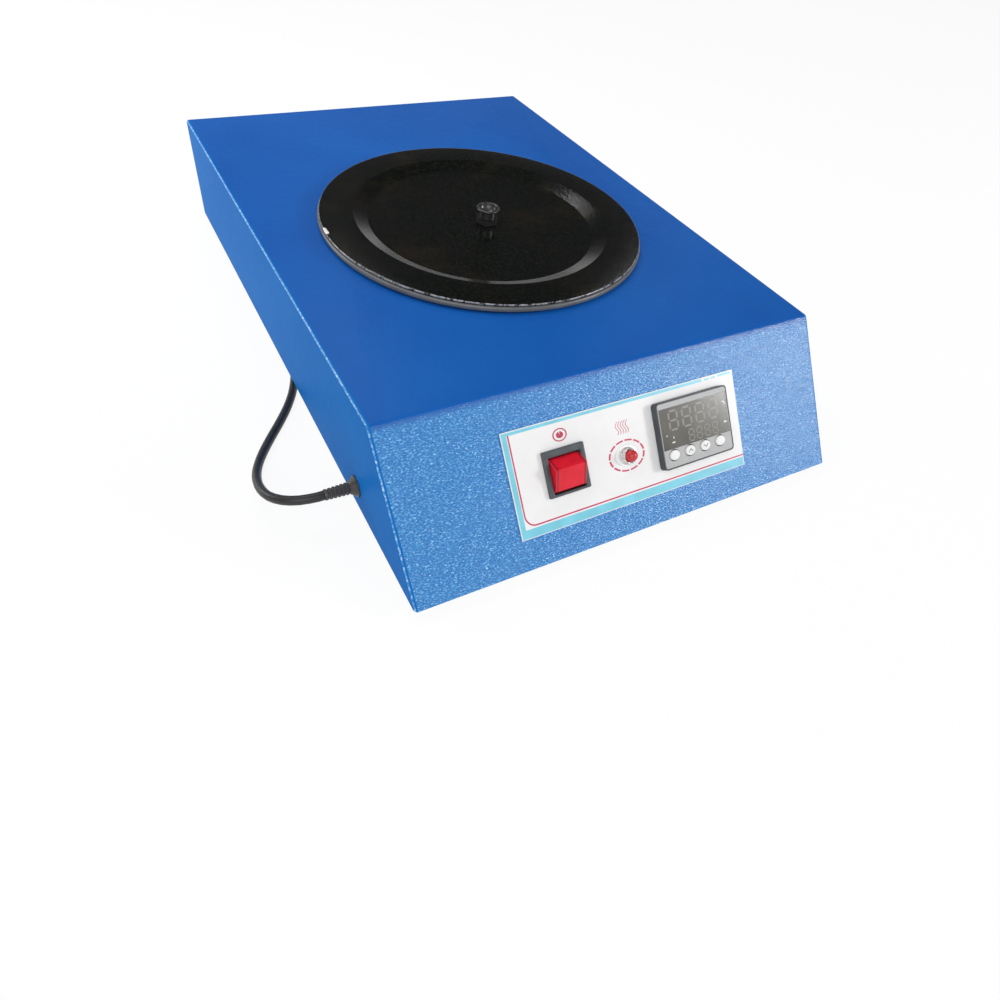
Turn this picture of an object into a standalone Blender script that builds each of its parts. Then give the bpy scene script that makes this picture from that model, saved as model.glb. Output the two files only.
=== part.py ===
"""Tissue flotation bath: a sheet-metal desk housing with a sloped control panel, a heated round
basin under a dished lid, a temperature controller, and a mains lead. Metres, +Z up.

The origin is on the standing surface, under the middle of the housing. The front is at -Y."""

import math

import bmesh
import bpy
from mathutils import Matrix, Vector

# Clearances that every piece shares
CLEAR = 0.0003
OVERRUN = 0.004
MERGE = 0.000001

# Housing, a folded sheet body whose front leans back
WIDTH = 0.324
DEPTH = 0.482
HEIGHT = 0.078
SLOPE_DEPTH = 0.070
SHEET = 0.0015
BEND_RADIUS = 0.0022
BEND_STEPS = 2
FLANGE_WIDTH = 0.014

# Base plate, its screws and the rubber feet
PLATE_THICKNESS = 0.0015
PLATE_CLEAR = 0.0005
VENT_LENGTH = 0.036
VENT_WIDTH = 0.004
VENT_PITCH = 0.014
REAR_VENTS = 8
REAR_VENT_SETBACK = 0.060
FRONT_VENTS = 5
FRONT_VENT_SETBACK = 0.112
FRONT_VENT_SIDE = 0.075
SCREW_RADIUS = 0.0015
SCREW_LENGTH = 0.008
SCREW_SETBACK = 0.050
SCREW_HEAD_RADIUS = 0.0029
SCREW_HEAD_HEIGHT = 0.0018
FOOT_HEIGHT = 0.008
FOOT_RADIUS = 0.009
FOOT_EDGE = 0.001
FOOT_STEM_RADIUS = 0.003
FOOT_BARB_RADIUS = 0.0045
FOOT_BARB_HEIGHT = 0.0025
FOOT_SIDE_INSET = 0.036
FOOT_END_INSET = 0.048

# Basin, an aluminium bowl hung by its rim in the top of the housing
BATH_SETBACK = 0.249
BASIN_RADIUS = 0.100
BASIN_DEPTH = 0.042
BASIN_WALL = 0.0012
BASIN_CORNER = 0.008
CORNER_STEPS = 3
RIM_WIDTH = 0.0195
BEAD_WIDTH = 0.003
BEAD_HEIGHT = 0.0017
HOLE_GAP = 0.001
GASKET_THICKNESS = 0.001
GASKET_WIDTH = 0.014
STUD_RADIUS = 0.004
BRACKET_WIDTH = 0.012
BRACKET_THICKNESS = 0.0015
BRACKET_REACH = 0.018
BRACKET_DROP = 0.020
BRACKETS = 3
ROUND_STEPS = 64

# Lid, a pressed dish with a turned knob a little to the right of its middle
LID_INSET = 0.0012
LID_THICKNESS = 0.0015
LID_STEP_INSET = 0.004
LID_STEP_WIDTH = 0.011
LID_DISH_DEPTH = 0.0045
LID_BEND = 0.002
KNOB_RIGHT = 0.0037
KNOB_FORWARD = 0.0026
KNOB_HEIGHT = 0.011
KNOB_TOP_RADIUS = 0.0085
KNOB_MOUTH_RADIUS = 0.0068
KNOB_NECK_RADIUS = 0.0067
KNOB_HOLLOW_DEPTH = 0.0055
KNOB_FLARE_HEIGHT = 0.0025
KNOB_NUT_FLATS = 0.0155
KNOB_NUT_HEIGHT = 0.003
KNOB_SHANK_RADIUS = 0.0025
LOCKNUT_FLATS = 0.008
LOCKNUT_HEIGHT = 0.003
SHANK_TIP = 0.001
KNOB_STEPS = 24

# Heater stack under the basin
HEATER_INSET = 0.015
HEATER_THICKNESS = 0.004
HEATER_TAB_WIDTH = 0.012
HEATER_TAB_LENGTH = 0.008
HEATER_TAB_SIDE = 0.020
CLAMP_PLATE_INSET = 0.005
CLAMP_PLATE_THICKNESS = 0.002
HEATER_NUT_FLATS = 0.013
HEATER_NUT_HEIGHT = 0.006
STUD_TIP = 0.0008
INSULATION_INSET = 0.008
CUTOUT_RADIUS = 0.008
CUTOUT_FLANGE_RADIUS = 0.012
CUTOUT_FLANGE_THICKNESS = 0.001
CUTOUT_HEIGHT = 0.006
CUTOUT_SIDE = 0.045

# Temperature sensor, held under the heater's clamp plate by a saddle
PROBE_RADIUS = 0.0025
PROBE_LENGTH = 0.030
PROBE_SIDE = 0.035
PROBE_FORWARD = 0.020
SADDLE_THICKNESS = 0.001
SADDLE_EAR = 0.008
SADDLE_WIDTH = 0.010
SADDLE_SCREW_RADIUS = 0.0013
SADDLE_SCREW_HEAD_RADIUS = 0.0025
SADDLE_SCREW_HEAD_HEIGHT = 0.0014

# Control label on the sloped front, measured up the slope from the housing's lower front edge
LABEL_LEFT = 0.0735
LABEL_LOW = 0.0187
LABEL_WIDTH = 0.1753
LABEL_HEIGHT = 0.0640
LABEL_THICKNESS = 0.0005

# Rocker switch, placed from the label's lower left corner
SWITCH_ALONG = 0.0375
SWITCH_UP = 0.0318
SWITCH_WIDTH = 0.0290
SWITCH_HEIGHT = 0.0280
SWITCH_BEZEL_RISE = 0.0013
SWITCH_BEZEL_THICKNESS = 0.0022
SWITCH_BODY_WIDTH = 0.0264
SWITCH_BODY_HEIGHT = 0.0242
SWITCH_BODY_DEPTH = 0.022
WELL_WIDTH = 0.0224
WELL_HEIGHT = 0.0218
WELL_DEPTH = 0.0065
ROCKER_PIVOT_DEPTH = 0.0005
ROCKER_RIDGE_UP = 0.0040
ROCKER_RIDGE_HEIGHT = 0.0094
ROCKER_TOP_REACH = 0.0099
ROCKER_TOP_HEIGHT = 0.0024
ROCKER_FOOT_REACH = 0.0094
ROCKER_FOOT_HEIGHT = 0.0042
ROCKER_KEEL = 0.0034

# Indicator lamp, placed from the same corner
LAMP_ALONG = 0.0825
LAMP_UP = 0.0300
LAMP_FLANGE_RADIUS = 0.0054
LAMP_FLANGE_THICKNESS = 0.0014
LAMP_NECK_RADIUS = 0.0047
LAMP_NECK_HEIGHT = 0.0036
LAMP_BARREL_RADIUS = 0.0040
LAMP_BARREL_LENGTH = 0.016
LAMP_SEAT_DEPTH = 0.0025
LENS_RADIUS = 0.0038
LENS_HEIGHT = 0.0042
LENS_STEPS = 4
LAMP_NUT_FLATS = 0.012
LAMP_NUT_HEIGHT = 0.003

# Temperature controller, placed from the same corner
CONTROLLER_ALONG = 0.1346
CONTROLLER_UP = 0.0351
CONTROLLER_WIDTH = 0.0576
CONTROLLER_HEIGHT = 0.0426
CONTROLLER_PROUD = 0.0058
CONTROLLER_CHAMFER = 0.0022
CONTROLLER_RIM = 0.0006
CASE_WIDTH = 0.0520
CASE_HEIGHT = 0.0390
CASE_DEPTH = 0.026
CASE_WALL = 0.0012
FACE_THICKNESS = 0.0016
WINDOW_SIDE_STRIP = 0.0005
WINDOW_TOP_STRIP = 0.0034
WINDOW_HEIGHT = 0.0259
WINDOW_THICKNESS = 0.0012
WINDOW_SUNK = 0.0002
DIGITS_WIDTH = 0.046
DIGITS_HEIGHT = 0.021
DIGITS_THICKNESS = 0.0035
BOARD_THICKNESS = 0.0016
KEY_WIDTH = 0.0078
KEY_HEIGHT = 0.0064
KEY_PROUD = 0.0008
KEY_TRAVEL = 0.0006
KEY_PITCH = 0.01265
KEY_UP = 0.0084
KEYS_LEFT = 0.0011
KEY_STEPS = 16
KEY_NAMES = ("button_set", "button_up", "button_down", "button_enter")
CLAMP_WALL = 0.0018
CLAMP_LENGTH = 0.009
TERMINALS_WIDTH = 0.040
TERMINALS_HEIGHT = 0.012
TERMINALS_DEPTH = 0.006

# Terminal strip and earth stud on the base plate
STRIP_LENGTH = 0.060
STRIP_WIDTH = 0.016
STRIP_HEIGHT = 0.014
STRIP_FROM_SIDE = 0.062
STRIP_POLES = 5
STRIP_SLOT_WIDTH = 0.002
STRIP_SLOT_DEPTH = 0.004
EARTH_RADIUS = 0.0025
EARTH_BASE_RADIUS = 0.006
EARTH_BASE_THICKNESS = 0.0015
EARTH_HEIGHT = 0.014
EARTH_NUT_FLATS = 0.008
EARTH_NUT_HEIGHT = 0.004
EARTH_FROM_SIDE = 0.040
EARTH_BEHIND_STRIP = 0.030

# Cable entry in the left side
ENTRY_SETBACK = 0.0875
ENTRY_HEIGHT = 0.0156
GROMMET_FLANGE_RADIUS = 0.0070
GROMMET_CONE_RADIUS = 0.0039
GROMMET_CONE_LENGTH = 0.0045
GROMMET_NECK_RADIUS = 0.0048
GROMMET_INNER_RADIUS = 0.0065
GROMMET_INNER_THICKNESS = 0.002
SLEEVE_LENGTH = 0.0155
SLEEVE_TIP_RADIUS = 0.0034

# Mains lead: a free stretch along the left side, then a coil close behind the housing
CORD_RADIUS = 0.0030
CORD_ROUTE = (
    (-0.1826, -0.1535, 0.0236),
    (-0.1865, -0.1535, 0.0236),
    (-0.1968, -0.1514, 0.0229),
    (-0.2056, -0.1456, 0.0207),
    (-0.2114, -0.1368, 0.0176),
    (-0.2135, -0.1265, 0.0141),
    (-0.2132, -0.1160, 0.0107),
    (-0.2108, -0.1050, 0.0077),
    (-0.2062, -0.0940, 0.0053),
    (-0.1998, -0.0830, 0.0038),
    (-0.1920, -0.0720, 0.0031),
    (-0.1830, -0.0605, 0.0031),
    (-0.1740, -0.0480, 0.0031),
    (-0.1655, -0.0335, 0.0031),
    (-0.1585, -0.0170, 0.0031),
    (-0.1530, 0.0020, 0.0031),
    (-0.1490, 0.0250, 0.0031),
    (-0.1462, 0.0550, 0.0031),
    (-0.1448, 0.0950, 0.0031),
    (-0.1445, 0.1400, 0.0031),
    (-0.1445, 0.1750, 0.0031),
    (-0.1442, 0.2000, 0.0031),
    (-0.1405, 0.2185, 0.0031),
    (-0.1300, 0.2344, 0.0032),
    (-0.1140, 0.2450, 0.0036),
    (-0.0950, 0.2488, 0.0040),
    (-0.0780, 0.2490, 0.0042),
    (-0.0663, 0.2490, 0.0042),
)
CORD_STEP = 0.0135
CORD_ROUND_STEPS = 2
COIL_ROUND_STEPS = 1
COIL_CENTRE_X = -0.060
COIL_CENTRE_Y = 0.290
COIL_LIFT = 0.0012
COIL_RADIUS = 0.041
COIL_GAP = 0.0007
COIL_TURNS_IN = 2.5
COIL_TURNS = 5
CLIMB_TURNS = 0.5
COIL_EASE_TURNS = 0.12
COIL_POINTS_PER_TURN = 24
TAIL_HEADING = math.radians(30)
TAIL_LENGTH = 0.024
TAIL_STEPS = 6

# Tie round the coil, and the plug that lies beside it
TIE_WIDTH = 0.006
TIE_THICKNESS = 0.0009
TIE_CLEAR = 0.0008
PLUG_ENTRY_HEIGHT = 0.0120
PLUG_BOOT_LENGTH = 0.016
PLUG_BOOT_RADIUS = 0.0052
PLUG_BOOT_TIP_RADIUS = 0.0040
PLUG_LENGTH = 0.036
PLUG_WIDTH = 0.040
PLUG_BACK_WIDTH = 0.018
PLUG_HEIGHT = 0.036
PLUG_SHOULDER_SHARE = 0.55
PLUG_EDGE = 0.0025
PIN_SPACING = 0.019
PIN_DROP = 0.021
PIN_LOW = 0.0075
PIN_RADIUS = 0.0025
PIN_LENGTH = 0.015
EARTH_PIN_RADIUS = 0.0035
EARTH_PIN_LENGTH = 0.020
PIN_EMBED = 0.004

# Inner wires
WIRE_RADIUS = 0.0015
SENSOR_LEAD_RADIUS = 0.001
WIRE_STEP = 0.0065
WIRE_STRAIGHT = 0.006
LEAST_WIRE_STEPS = 4
HEATER_POLE = 3
SWITCH_POLE = 4
TERMINAL_SPACING = 0.012

# Levels and places that follow from the sizes above
base_z = FOOT_HEIGHT
top_z = base_z + HEIGHT
flange_low_z = base_z + PLATE_THICKNESS + CLEAR
flange_top_z = flange_low_z + SHEET
plate_top_z = base_z + PLATE_THICKNESS
slope_length = math.hypot(SLOPE_DEPTH, HEIGHT)
slope_angle = math.atan2(HEIGHT, SLOPE_DEPTH)
bath_y = -DEPTH / 2 + BATH_SETBACK
basin_outer = BASIN_RADIUS + BASIN_WALL
rim_radius = BASIN_RADIUS + RIM_WIDTH
lid_radius = rim_radius - LID_INSET
lid_flange_inner = BASIN_RADIUS - LID_STEP_INSET
lid_floor_radius = lid_flange_inner - LID_STEP_WIDTH
heater_radius = BASIN_RADIUS - HEATER_INSET
clamp_plate_radius = heater_radius - CLAMP_PLATE_INSET
insulation_radius = BASIN_RADIUS - INSULATION_INSET
rim_low_z = top_z + GASKET_THICKNESS + CLEAR + CLEAR
rim_top_z = rim_low_z + BASIN_WALL
bead_top_z = rim_top_z + BEAD_HEIGHT
basin_floor_z = rim_top_z - BASIN_DEPTH
basin_under_z = basin_floor_z - BASIN_WALL
lid_top_z = bead_top_z + CLEAR + LID_THICKNESS
lid_floor_z = lid_top_z - LID_DISH_DEPTH
lid_under_z = lid_floor_z - LID_THICKNESS
heater_low_z = basin_under_z - CLEAR - HEATER_THICKNESS
clamp_plate_low_z = heater_low_z - CLEAR - CLAMP_PLATE_THICKNESS
heater_nut_low_z = clamp_plate_low_z - CLEAR - HEATER_NUT_HEIGHT
probe_z = clamp_plate_low_z - CLEAR - PROBE_RADIUS
saddle_drop = PROBE_RADIUS + PROBE_RADIUS + CLEAR + SADDLE_THICKNESS
stack_drop = max(HEATER_NUT_HEIGHT + STUD_TIP, saddle_drop, CUTOUT_HEIGHT)
insulation_top_z = clamp_plate_low_z - CLEAR - stack_drop - CLEAR
panel_origin = Vector((0, -DEPTH / 2, base_z))
label_corner = Vector((-WIDTH / 2 + LABEL_LEFT, LABEL_LOW, 0))
label_face = CLEAR + LABEL_THICKNESS
entry_y = -DEPTH / 2 + ENTRY_SETBACK
entry_z = base_z + ENTRY_HEIGHT
strip_x = -WIDTH / 2 + STRIP_FROM_SIDE + STRIP_LENGTH / 2
strip_low_z = plate_top_z + CLEAR
pole_z = strip_low_z + STRIP_HEIGHT / 2
cord_width = CORD_RADIUS + CORD_RADIUS


def start_empty():
    for old in list(bpy.data.objects):
        bpy.data.objects.remove(old, do_unlink=True)


def finish_of(name, colour, roughness, metallic=0.0):
    """A Principled material of one plain colour."""
    material = bpy.data.materials.new(name)
    material.use_nodes = True
    shader = material.node_tree.nodes["Principled BSDF"]
    shader.inputs["Base Color"].default_value = (*colour, 1)
    shader.inputs["Roughness"].default_value = roughness
    shader.inputs["Metallic"].default_value = metallic
    return material


def place(obj, location=(0, 0, 0), parent=None):
    bpy.context.scene.collection.objects.link(obj)
    obj.location = location
    obj.parent = parent
    return obj


def object_from(bm, name, material=None, location=(0, 0, 0), parent=None):
    """Closes the mesh, turns its faces outwards and shades its round stretches smooth."""
    bmesh.ops.remove_doubles(bm, verts=bm.verts, dist=MERGE)
    bmesh.ops.recalc_face_normals(bm, faces=bm.faces)
    mesh = bpy.data.meshes.new(name)
    bm.to_mesh(mesh)
    bm.free()
    mesh.shade_smooth()
    mesh.set_sharp_from_angle(angle=math.radians(35))
    if material:
        mesh.materials.append(material)
    return place(bpy.data.objects.new(name, mesh), location, parent)


def block(size, centre=(0, 0, 0)):
    """A bmesh box of the given size."""
    bm = bmesh.new()
    bmesh.ops.create_cube(bm, size=1)
    bmesh.ops.scale(bm, verts=bm.verts, vec=size)
    bmesh.ops.translate(bm, verts=bm.verts, vec=centre)
    return bm


def slab(width, length, low, high, at=(0, 0)):
    """A bmesh box between two heights."""
    return block((width, length, high - low), (*at, (low + high) / 2))


def rod(radius, low, high):
    """The profile of a solid round bar."""
    return [(0, low), (radius, low), (radius, high), (0, high)]


def ring(inner, outer, low, high):
    """The profile of a flat ring."""
    return [(inner, low), (outer, low), (outer, high), (inner, high)]


def upright_edges(bm):
    return [e for e in bm.edges if abs(e.verts[0].co.z - e.verts[1].co.z) > MERGE]


def bevel(bm, edges, width, steps=1):
    bmesh.ops.bevel(
        bm,
        geom=edges,
        offset=width,
        segments=steps,
        profile=0.5,
        affect="EDGES",
        clamp_overlap=True,
        material=-1,
    )


def turned(profile, steps=ROUND_STEPS, turn_to=None):
    """A bmesh turned about Z from (radius, height) points: a ring, or a solid whose ends touch the axis."""
    bm = bmesh.new()
    verts = [bm.verts.new((radius, 0, height)) for radius, height in profile]
    edges = [bm.edges.new(pair) for pair in zip(verts, verts[1:])]
    if profile[0][0] > 0:
        edges.append(bm.edges.new((verts[-1], verts[0])))
    bmesh.ops.spin(
        bm,
        geom=verts + edges,
        cent=(0, 0, 0),
        axis=(0, 0, 1),
        angle=math.tau,
        steps=steps,
        use_merge=True,
        use_duplicate=False,
    )
    bmesh.ops.remove_doubles(bm, verts=bm.verts, dist=MERGE)
    if turn_to:
        bmesh.ops.rotate(bm, verts=bm.verts, matrix=turn_to)
    return bm


def swept(outline, low, high, along="X"):
    """A bmesh of a flat outline pushed along X, or along Z, from low to high."""
    bm = bmesh.new()
    if along == "X":
        verts = [bm.verts.new((low, a, b)) for a, b in outline]
        step = Vector((high - low, 0, 0))
    else:
        verts = [bm.verts.new((a, b, low)) for a, b in outline]
        step = Vector((0, 0, high - low))
    face = bm.faces.new(verts)
    pushed = bmesh.ops.extrude_face_region(bm, geom=[face], use_keep_orig=True)
    moved = [v for v in pushed["geom"] if isinstance(v, bmesh.types.BMVert)]
    bmesh.ops.translate(bm, verts=moved, vec=step)
    return bm


def arc(centre, radius, start, end, steps):
    """Points on a round stretch of an outline, from one angle to another."""
    angles = [start + (end - start) * k / steps for k in range(steps + 1)]
    return [(centre[0] + radius * math.cos(a), centre[1] + radius * math.sin(a)) for a in angles]


def hexagon(across_flats, low, high):
    """A bmesh of a nut's body."""
    corner = across_flats / 2 / math.cos(math.pi / 6)
    return turned([(0, low), (corner, low), (corner, high), (0, high)], steps=6)


def cut(obj, cutter, operation="DIFFERENCE"):
    """Cuts a helper out of a piece, or joins it on."""
    cutter.hide_render = True
    cutter.display_type = "WIRE"
    change = obj.modifiers.new(cutter.name, "BOOLEAN")
    change.object = cutter
    change.operation = operation
    return obj


def nut(name, across_flats, low, high, hole_radius, material, location):
    piece = object_from(hexagon(across_flats, low, high), name, material, location)
    hole = turned(rod(hole_radius, low - OVERRUN, high + OVERRUN), steps=KNOB_STEPS)
    return cut(piece, object_from(hole, name + "_hole", None, location))


def between(start, leave, end, arrive, t):
    """A point on the smooth curve from start to end that leaves and arrives along the given vectors."""
    return (
        start * (2 * t**3 - 3 * t**2 + 1)
        + leave * (t**3 - 2 * t**2 + t)
        + end * (3 * t**2 - 2 * t**3)
        + arrive * (t**3 - t**2)
    )


def smooth_route(route, step):
    """Points about a step apart on one smooth curve through the route's own points."""
    points = [Vector(p) for p in route]
    ghosts = [points[0] + points[0] - points[1]] + points + [points[-1] + points[-1] - points[-2]]
    made = [points[0]]
    for before, start, end, after in zip(ghosts, ghosts[1:], ghosts[2:], ghosts[3:]):
        parts = max(1, round((end - start).length / step))
        leave = (end - before) / 2
        arrive = (after - start) / 2
        made += [between(start, leave, end, arrive, k / parts) for k in range(1, parts + 1)]
    return made


def lead_route(start, leave, end, arrive, step):
    """Straight out of start by leave, one smooth sag, and straight into end by arrive."""
    near = start + leave
    far = end - arrive
    span = (far - near).length
    steps = max(LEAST_WIRE_STEPS, round(span / step))
    out = leave.normalized() * span
    into = arrive.normalized() * span
    return [start] + [between(near, out, far, into, k / steps) for k in range(steps + 1)] + [end]


def tube(name, points, radius, level, material):
    """A round cord or wire along points, with filled ends."""
    line = bpy.data.curves.new(name, "CURVE")
    line.dimensions = "3D"
    line.bevel_depth = radius
    line.bevel_resolution = level
    line.use_fill_caps = True
    spline = line.splines.new("POLY")
    spline.points.add(len(points) - 1)
    for spot, point in zip(spline.points, points):
        spot.co = (*point, 1)
    line.materials.append(material)
    return place(bpy.data.objects.new(name, line))


def front_y(z, inset):
    """Y of the sloped front at a height, moved in square to its skin by inset."""
    return -DEPTH / 2 + (z - base_z) * SLOPE_DEPTH / HEIGHT + inset * slope_length / HEIGHT


def wedge(inset, low, high):
    """The housing's side outline, moved in from its skin by inset, between two heights."""
    back = DEPTH / 2 - inset
    return [(front_y(low, inset), low), (front_y(high, inset), high), (back, high), (back, low)]


def wedge_block(inset, low, high):
    half = WIDTH / 2 - inset
    return swept(wedge(inset, low, high), -half, half)


def on_label(along, up, out=0.0):
    """A place on the sloped panel, counted from the label's lower left corner."""
    return label_corner + Vector((along, up, out))


def corner_places(side, end):
    return [(x, y) for x in (-side, side) for y in (-end, end)]


def build_housing(panel, paint):
    bm = wedge_block(0, base_z, top_z)
    folds = [e for e in bm.edges if max(v.co.z for v in e.verts) > top_z - MERGE]
    bevel(bm, folds, BEND_RADIUS, BEND_STEPS)
    shell = object_from(bm, "housing_shell", paint)
    cut(shell, object_from(wedge_block(SHEET, flange_top_z, top_z - SHEET), "housing_cavity"))
    cut(shell, object_from(wedge_block(SHEET, base_z - OVERRUN, flange_low_z), "plate_recess"))
    opening = wedge_block(SHEET + FLANGE_WIDTH, base_z - OVERRUN, flange_top_z + OVERRUN)
    cut(shell, object_from(opening, "bottom_opening"))
    hole_radius = basin_outer + HOLE_GAP
    hole = turned(rod(hole_radius, top_z - SHEET - OVERRUN, top_z + OVERRUN))
    cut(shell, object_from(hole, "basin_hole", None, (0, bath_y, 0)))
    cut_panel_holes(shell, panel)
    entry = rod(GROMMET_NECK_RADIUS + CLEAR, -OVERRUN, SHEET + OVERRUN)
    entry_cutter = turned(entry, steps=KNOB_STEPS, turn_to=turn(math.pi / 2, "Y"))
    cut(shell, object_from(entry_cutter, "entry_hole", None, (-WIDTH / 2, entry_y, entry_z)))
    screw_hole = SCREW_RADIUS + CLEAR
    for k, (x, y) in enumerate(screw_places(), 1):
        cut(shell, upright_hole(f"flange_hole_{k}", screw_hole, flange_low_z, flange_top_z, (x, y, 0)))
    return shell


def turn(angle, about):
    return Matrix.Rotation(angle, 3, about)


def cut_panel_holes(piece, panel):
    """Cuts the holes for the switch, the controller and the lamp out of a sheet on the slope."""
    gap = CLEAR + CLEAR
    reach = SHEET + OVERRUN
    switch = slab(SWITCH_BODY_WIDTH + gap, SWITCH_BODY_HEIGHT + gap, -reach, reach)
    spot = on_label(SWITCH_ALONG, SWITCH_UP)
    cut(piece, object_from(switch, piece.name + "_switch_hole", None, spot, panel))
    controller = slab(CASE_WIDTH + gap, CASE_HEIGHT + gap, -reach, reach)
    spot = on_label(CONTROLLER_ALONG, CONTROLLER_UP)
    cut(piece, object_from(controller, piece.name + "_controller_hole", None, spot, panel))
    lamp = turned(rod(LAMP_BARREL_RADIUS + CLEAR, -reach, reach), steps=KNOB_STEPS)
    spot = on_label(LAMP_ALONG, LAMP_UP)
    cut(piece, object_from(lamp, piece.name + "_lamp_hole", None, spot, panel))


def upright_hole(name, radius, low, high, location, steps=KNOB_STEPS):
    bm = turned(rod(radius, low - CLEAR, high + CLEAR), steps=steps)
    return object_from(bm, name, None, location)


def screw_places():
    return corner_places(WIDTH / 2 - SHEET - FLANGE_WIDTH / 2, DEPTH / 2 - SCREW_SETBACK)


def foot_places():
    return corner_places(WIDTH / 2 - FOOT_SIDE_INSET, DEPTH / 2 - FOOT_END_INSET)


def vents(count, centre_x, centre_y):
    """One cutter of slots side by side."""
    bm = bmesh.new()
    for k in range(count):
        x = centre_x + (k - (count - 1) / 2) * VENT_PITCH
        made = bmesh.ops.create_cube(bm, size=1)["verts"]
        bmesh.ops.scale(bm, verts=made, vec=(VENT_WIDTH, VENT_LENGTH, PLATE_THICKNESS + OVERRUN))
        bmesh.ops.translate(bm, verts=made, vec=(x, centre_y, base_z + PLATE_THICKNESS / 2))
    return bm


def build_base(zinc, steel, rubber):
    front = front_y(plate_top_z, SHEET) + PLATE_CLEAR
    back = DEPTH / 2 - SHEET - PLATE_CLEAR
    width = WIDTH - SHEET - SHEET - PLATE_CLEAR - PLATE_CLEAR
    bm = slab(width, back - front, base_z, plate_top_z, (0, (front + back) / 2))
    plate = object_from(bm, "base_plate", zinc)
    cut(plate, object_from(vents(REAR_VENTS, 0, DEPTH / 2 - REAR_VENT_SETBACK), "rear_vents"))
    front_row = vents(FRONT_VENTS, FRONT_VENT_SIDE, -DEPTH / 2 + FRONT_VENT_SETBACK)
    cut(plate, object_from(front_row, "front_vents"))
    screw_gap = SCREW_RADIUS + CLEAR
    stem_gap = FOOT_STEM_RADIUS + CLEAR
    for k, (x, y) in enumerate(screw_places(), 1):
        cut(plate, upright_hole(f"screw_hole_{k}", screw_gap, base_z, plate_top_z, (x, y, 0), steps=12))
        head_top = base_z - CLEAR
        profile = [
            (0, head_top - SCREW_HEAD_HEIGHT),
            (SCREW_HEAD_RADIUS - SCREW_RADIUS / 2, head_top - SCREW_HEAD_HEIGHT),
            (SCREW_HEAD_RADIUS, head_top - SCREW_HEAD_HEIGHT / 2),
            (SCREW_HEAD_RADIUS, head_top),
            (SCREW_RADIUS, head_top),
            (SCREW_RADIUS, head_top + SCREW_LENGTH),
            (0, head_top + SCREW_LENGTH),
        ]
        object_from(turned(profile, steps=12), f"base_screw_{k}", steel, (x, y, 0))
    for k, (x, y) in enumerate(foot_places(), 1):
        cut(plate, upright_hole(f"foot_hole_{k}", stem_gap, base_z, plate_top_z, (x, y, 0), steps=16))
        pad_top = base_z - CLEAR
        barb_low = plate_top_z + CLEAR
        profile = [
            (0, 0),
            (FOOT_RADIUS - FOOT_EDGE, 0),
            (FOOT_RADIUS, FOOT_EDGE),
            (FOOT_RADIUS, pad_top),
            (FOOT_STEM_RADIUS, pad_top),
            (FOOT_STEM_RADIUS, barb_low),
            (FOOT_BARB_RADIUS, barb_low),
            (FOOT_STEM_RADIUS, barb_low + FOOT_BARB_HEIGHT),
            (0, barb_low + FOOT_BARB_HEIGHT),
        ]
        object_from(turned(profile, steps=20), f"foot_{k}", rubber, (x, y, 0))


def build_basin(aluminium, silicone, zinc):
    at = (0, bath_y, 0)
    bead = BEAD_WIDTH / 2
    bead_centre = (rim_radius - bead, bead_top_z - bead)
    inner_corner = (BASIN_RADIUS - BASIN_CORNER, basin_floor_z + BASIN_CORNER)
    outer_bend = BASIN_CORNER + BASIN_WALL
    quarter = math.pi / 2
    stud_low_z = heater_nut_low_z - STUD_TIP
    profile = [(0, basin_floor_z)]
    profile += arc(inner_corner, BASIN_CORNER, -quarter, 0, CORNER_STEPS)
    profile += [(BASIN_RADIUS, rim_top_z), (rim_radius - BEAD_WIDTH, rim_top_z)]
    profile += arc(bead_centre, bead, math.pi, 0, CORNER_STEPS)[1:]
    profile += [(rim_radius, rim_low_z), (basin_outer, rim_low_z)]
    profile += arc(inner_corner, outer_bend, 0, -quarter, CORNER_STEPS)
    profile += [(STUD_RADIUS, basin_under_z), (STUD_RADIUS, stud_low_z), (0, stud_low_z)]
    object_from(turned(profile), "bath_basin", aluminium, at)
    gasket_low = top_z + CLEAR
    gasket_inner = basin_outer + HOLE_GAP
    gasket = ring(gasket_inner, gasket_inner + GASKET_WIDTH, gasket_low, gasket_low + GASKET_THICKNESS)
    object_from(turned(gasket, steps=48), "rim_gasket", silicone, at)
    high = top_z - SHEET - CLEAR
    near = basin_outer + CLEAR
    outline = [
        (near, high),
        (near + BRACKET_REACH, high),
        (near + BRACKET_REACH, high - BRACKET_THICKNESS),
        (near + BRACKET_THICKNESS, high - BRACKET_THICKNESS),
        (near + BRACKET_THICKNESS, high - BRACKET_DROP),
        (near, high - BRACKET_DROP),
    ]
    for k in range(BRACKETS):
        bm = swept(outline, -BRACKET_WIDTH / 2, BRACKET_WIDTH / 2)
        piece = object_from(bm, f"basin_bracket_{k + 1}", zinc, at)
        piece.rotation_euler.z = math.tau * k / BRACKETS


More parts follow.
